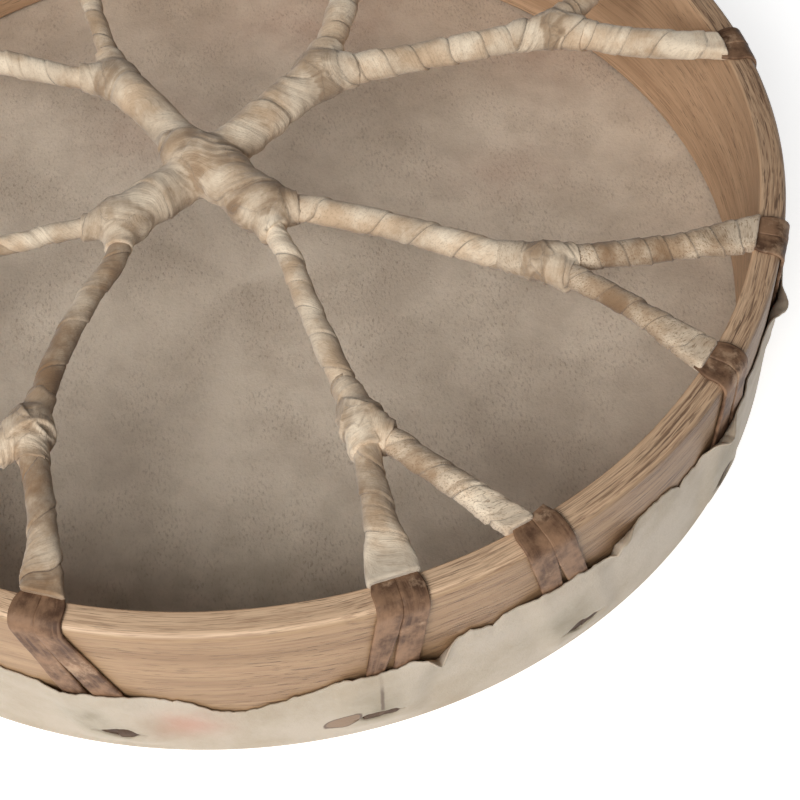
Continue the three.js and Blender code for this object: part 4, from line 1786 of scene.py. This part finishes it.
    def _knot(self, number: int, heading: Rows, finish: Material) -> Mesh:
        """Makes the knot of one thin arm, with its two bands and the starts of its legs.

        Args:
            number: Number of the arm.
            heading: Direction of the arm where it meets the knot.
            finish: The leather.

        Returns:
            A closed mesh with its marks.
        """
        arm = self.thin_arms[number]
        knot = arm.place
        wind = wound(
            220 + number, pitch=20 * MM, lap=0.8 * MM, fold=0.9 * MM, wobble=0.3, warmth=0.55,
            suede=arm.suede * 1.6)
        reach = arm.knot * self.knot_reach * MM
        girth = arm.knot * self.knot_girth * MM
        sleeve = arm.girth * MM + self.sleeve
        branches = [
            Branch(knot - heading * reach, knot + heading * reach, girth, girth, wind, 0.85),
            Branch(knot - heading * self.knot_stub * MM, knot, sleeve, arm.girth * 1.25 * MM, wind),
        ]
        flat = unit(np.cross(UP, heading))
        for side in (-1, 1):
            wind = wound(
                230 + number * 2 + side, pitch=60 * MM, lap=0, fold=0.9 * MM, warmth=0.5, line=0.2)
            ahead, aside, raised = self.band_slant
            slant = unit(heading * ahead + flat * aside * side + [0, 0, raised * side])
            half = slant * self.band_width / 2
            middle = knot + heading * (1.2 * side + 0.8) * MM
            band = girth * self.band_girths[side > 0]
            branches.append(Branch(middle - half, middle + half, band, band * 0.97, wind, 0.9, band=True))
        for leg in self.legs:
            if leg.arm == number:
                wind = wound(
                    240 + number, pitch=18 * MM, lap=0.7 * MM, fold=0.8 * MM, warmth=leg.warmth * 0.7)
                thick = leg.girth * MM + 1.6 * self.sleeve
                branches.append(stub(self._leg_places(leg), self.knot_stub, thick, wind))
        fork = Fork("knot", branches, 0.6 * MM, 0.6 * MM, 0.22 * MM, seed=30 + number)
        return fork.build(finish)

    def arm(self, number: int, sweep: Sweep, finish: Material) -> Object:
        """Makes one thin arm with its knot.

        Args:
            number: Number of the arm.
            sweep: The tree that carries the arm's outline along it.
            finish: Its material.

        Returns:
            The piece.
        """
        arm = self.thin_arms[number]
        places = self._arm_places(arm)
        heading = unit(places[-1] - places[-2])
        places[0] = places[0] + unit(places[1] - places[0]) * self.arm_start
        wind = wound(
            200 + number, pitch=arm.pitch * MM, warmth=arm.warmth, greyness=arm.greyness, suede=arm.suede)
        limb = WoundLimb(places, arm.girth * MM, wind).build(sweep, finish)
        name = f"arm_leather_{number + 1}"
        return linked(name, finished(joined([limb, self._knot(number, heading, finish)], name), finish))

    def leg(self, number: int, sweep: Sweep, finish: Material) -> Object:
        """Makes one leg with its flat squared end.

        Args:
            number: Number of the leg.
            sweep: The tree that carries the leg's outline along it.
            finish: Its material.

        Returns:
            The piece.
        """
        leg = self.legs[number]
        places = self._leg_places(leg)
        places[0] = places[0] + unit(places[1] - places[0]) * self.leg_start
        wind = wound(
            300 + number, pitch=leg.pitch * MM, fold=leg.fold * MM, warmth=leg.warmth,
            greyness=leg.greyness, suede=leg.suede)
        limb = WoundLimb(
            places, leg.girth * MM, wind, leg.end_width * MM, self.end_thickness,
            end_bearing=math.radians(leg.end_angle))
        return linked(f"leg_leather_{number + 1:02d}", limb.build(sweep, finish))


@dataclass(frozen=True)
class Lamp:
    """A square area light that faces the drum."""

    name: str
    place: tuple[float, float, float]
    size: float
    power: float
    colour: Colour = (1, 1, 1)


@dataclass
class Studio:
    """Camera, lights and floor."""

    camera_place: tuple[float, float, float] = CAMERA_PLACE
    target: tuple[float, float, float] = (0.0546555, -0.104665, 0.040)
    roll: float = -0.0341
    lens: float = 84.10
    sensor: float = 36
    nearest: float = 0.01
    floor_size: float = 6.0
    floor_drop: float = 0.2 * MM
    aim_height: float = 0.05
    air: float = 0.1
    lamps: tuple[Lamp, ...] = (
        Lamp("key", (-0.85, -1.6, 1.45), 1.35, 49, (1, 0.99, 0.975)),
        Lamp("top", (-0.3, 0.9, 2.2), 1.2, 3),
    )

    def set_camera(self) -> None:
        """Places the camera at the photograph's angle."""
        view = unit(np.array(self.target) - self.camera_place)
        right = unit(np.cross(view, UP))
        up = np.cross(right, view)
        turned_right = right * math.cos(self.roll) + up * math.sin(self.roll)
        turned_up = -right * math.sin(self.roll) + up * math.cos(self.roll)
        data = bpy.data.cameras.new("photo_camera")
        data.lens = self.lens
        data.sensor_width = self.sensor
        data.clip_start = self.nearest
        camera = bpy.data.objects.new("photo_camera", data)
        axes = Matrix([turned_right, turned_up, -view]).transposed().to_4x4()
        camera.matrix_world = Matrix.Translation(self.camera_place) @ axes
        bpy.context.scene.collection.objects.link(camera)
        bpy.context.scene.camera = camera

    def _place(self, lamp: Lamp) -> None:
        """Adds one of the lamps."""
        data = bpy.data.lights.new(lamp.name, "AREA")
        data.shape = "SQUARE"
        data.size = lamp.size
        data.energy = lamp.power
        data.color = lamp.colour
        light = bpy.data.objects.new(lamp.name, data)
        light.location = lamp.place
        aim = Vector((0, 0, self.aim_height)) - Vector(lamp.place)
        light.rotation_euler = aim.to_track_quat("-Z", "Y").to_euler()
        bpy.context.scene.collection.objects.link(light)

    def set_lights(self) -> None:
        """Adds a soft studio key, a weak light from above and pale surroundings."""
        world = bpy.data.worlds.new("studio_air")
        world.use_nodes = True
        air = world.node_tree.nodes["Background"].inputs
        air["Color"].default_value = (1, 1, 1, 1)
        air["Strength"].default_value = self.air
        bpy.context.scene.world = world
        for lamp in self.lamps:
            self._place(lamp)
        bpy.context.scene.view_settings.view_transform = "Standard"

    def set_floor(self) -> None:
        """Lays the floor under the drum."""
        corners = np.array([(-1, -1, 0), (1, -1, 0), (1, 1, 0), (-1, 1, 0)]) * self.floor_size / 2
        mesh = mesh_of("floor", corners - [0, 0, self.floor_drop], [(0, 1, 2, 3)])
        mesh.materials.append(FloorFinish().material())
        linked("studio_floor", mesh)


def present(piece: Object, node: str) -> None:
    """Lets a finished piece stand for its CAD node, and logs it."""
    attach(piece, BODY)
    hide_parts(node)
    triangles = sum(len(face.vertices) - 2 for face in piece.data.polygons)
    LOG.info("%s for %s, %d triangles", piece.name, node, triangles)


def main() -> None:
    """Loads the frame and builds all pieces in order."""
    logging.basicConfig(level=logging.INFO, format="%(name)s: %(message)s")
    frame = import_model()
    LOG.info("packed frame loaded: %s", type(frame).__name__)
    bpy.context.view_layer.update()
    studio = Studio()
    studio.set_camera()
    studio.set_lights()
    studio.set_floor()
    finishes = Finishes(
        WoodFinish().material(), RawhideFinish().material(),
        LaceFinish().material(), BuckskinFinish().material())
    sweep = Sweep()
    web = HandWeb()
    passes = [Pass(number, leg.end_angle, *leg.straps) for number, leg in enumerate(web.legs)]
    present(Hoop().build(sweep, finishes.wood), "hoop")
    present(DrumSkin(passes).build(finishes.rawhide), "drum_skin")
    for lace in passes:
        present(RimLace(lace).build(sweep, finishes.lace), f"rim_lace_{lace.number + 1:02d}")
    present(web.hub(finishes.buckskin), "hub_wrap")
    for number in range(len(web.thin_arms)):
        present(web.arm(number, sweep, finishes.buckskin), f"arm_wrap_{number + 1}")
    for number in range(len(web.legs)):
        present(web.leg(number, sweep, finishes.buckskin), f"leg_wrap_{number + 1:02d}")


if __name__ == "__main__":
    main()
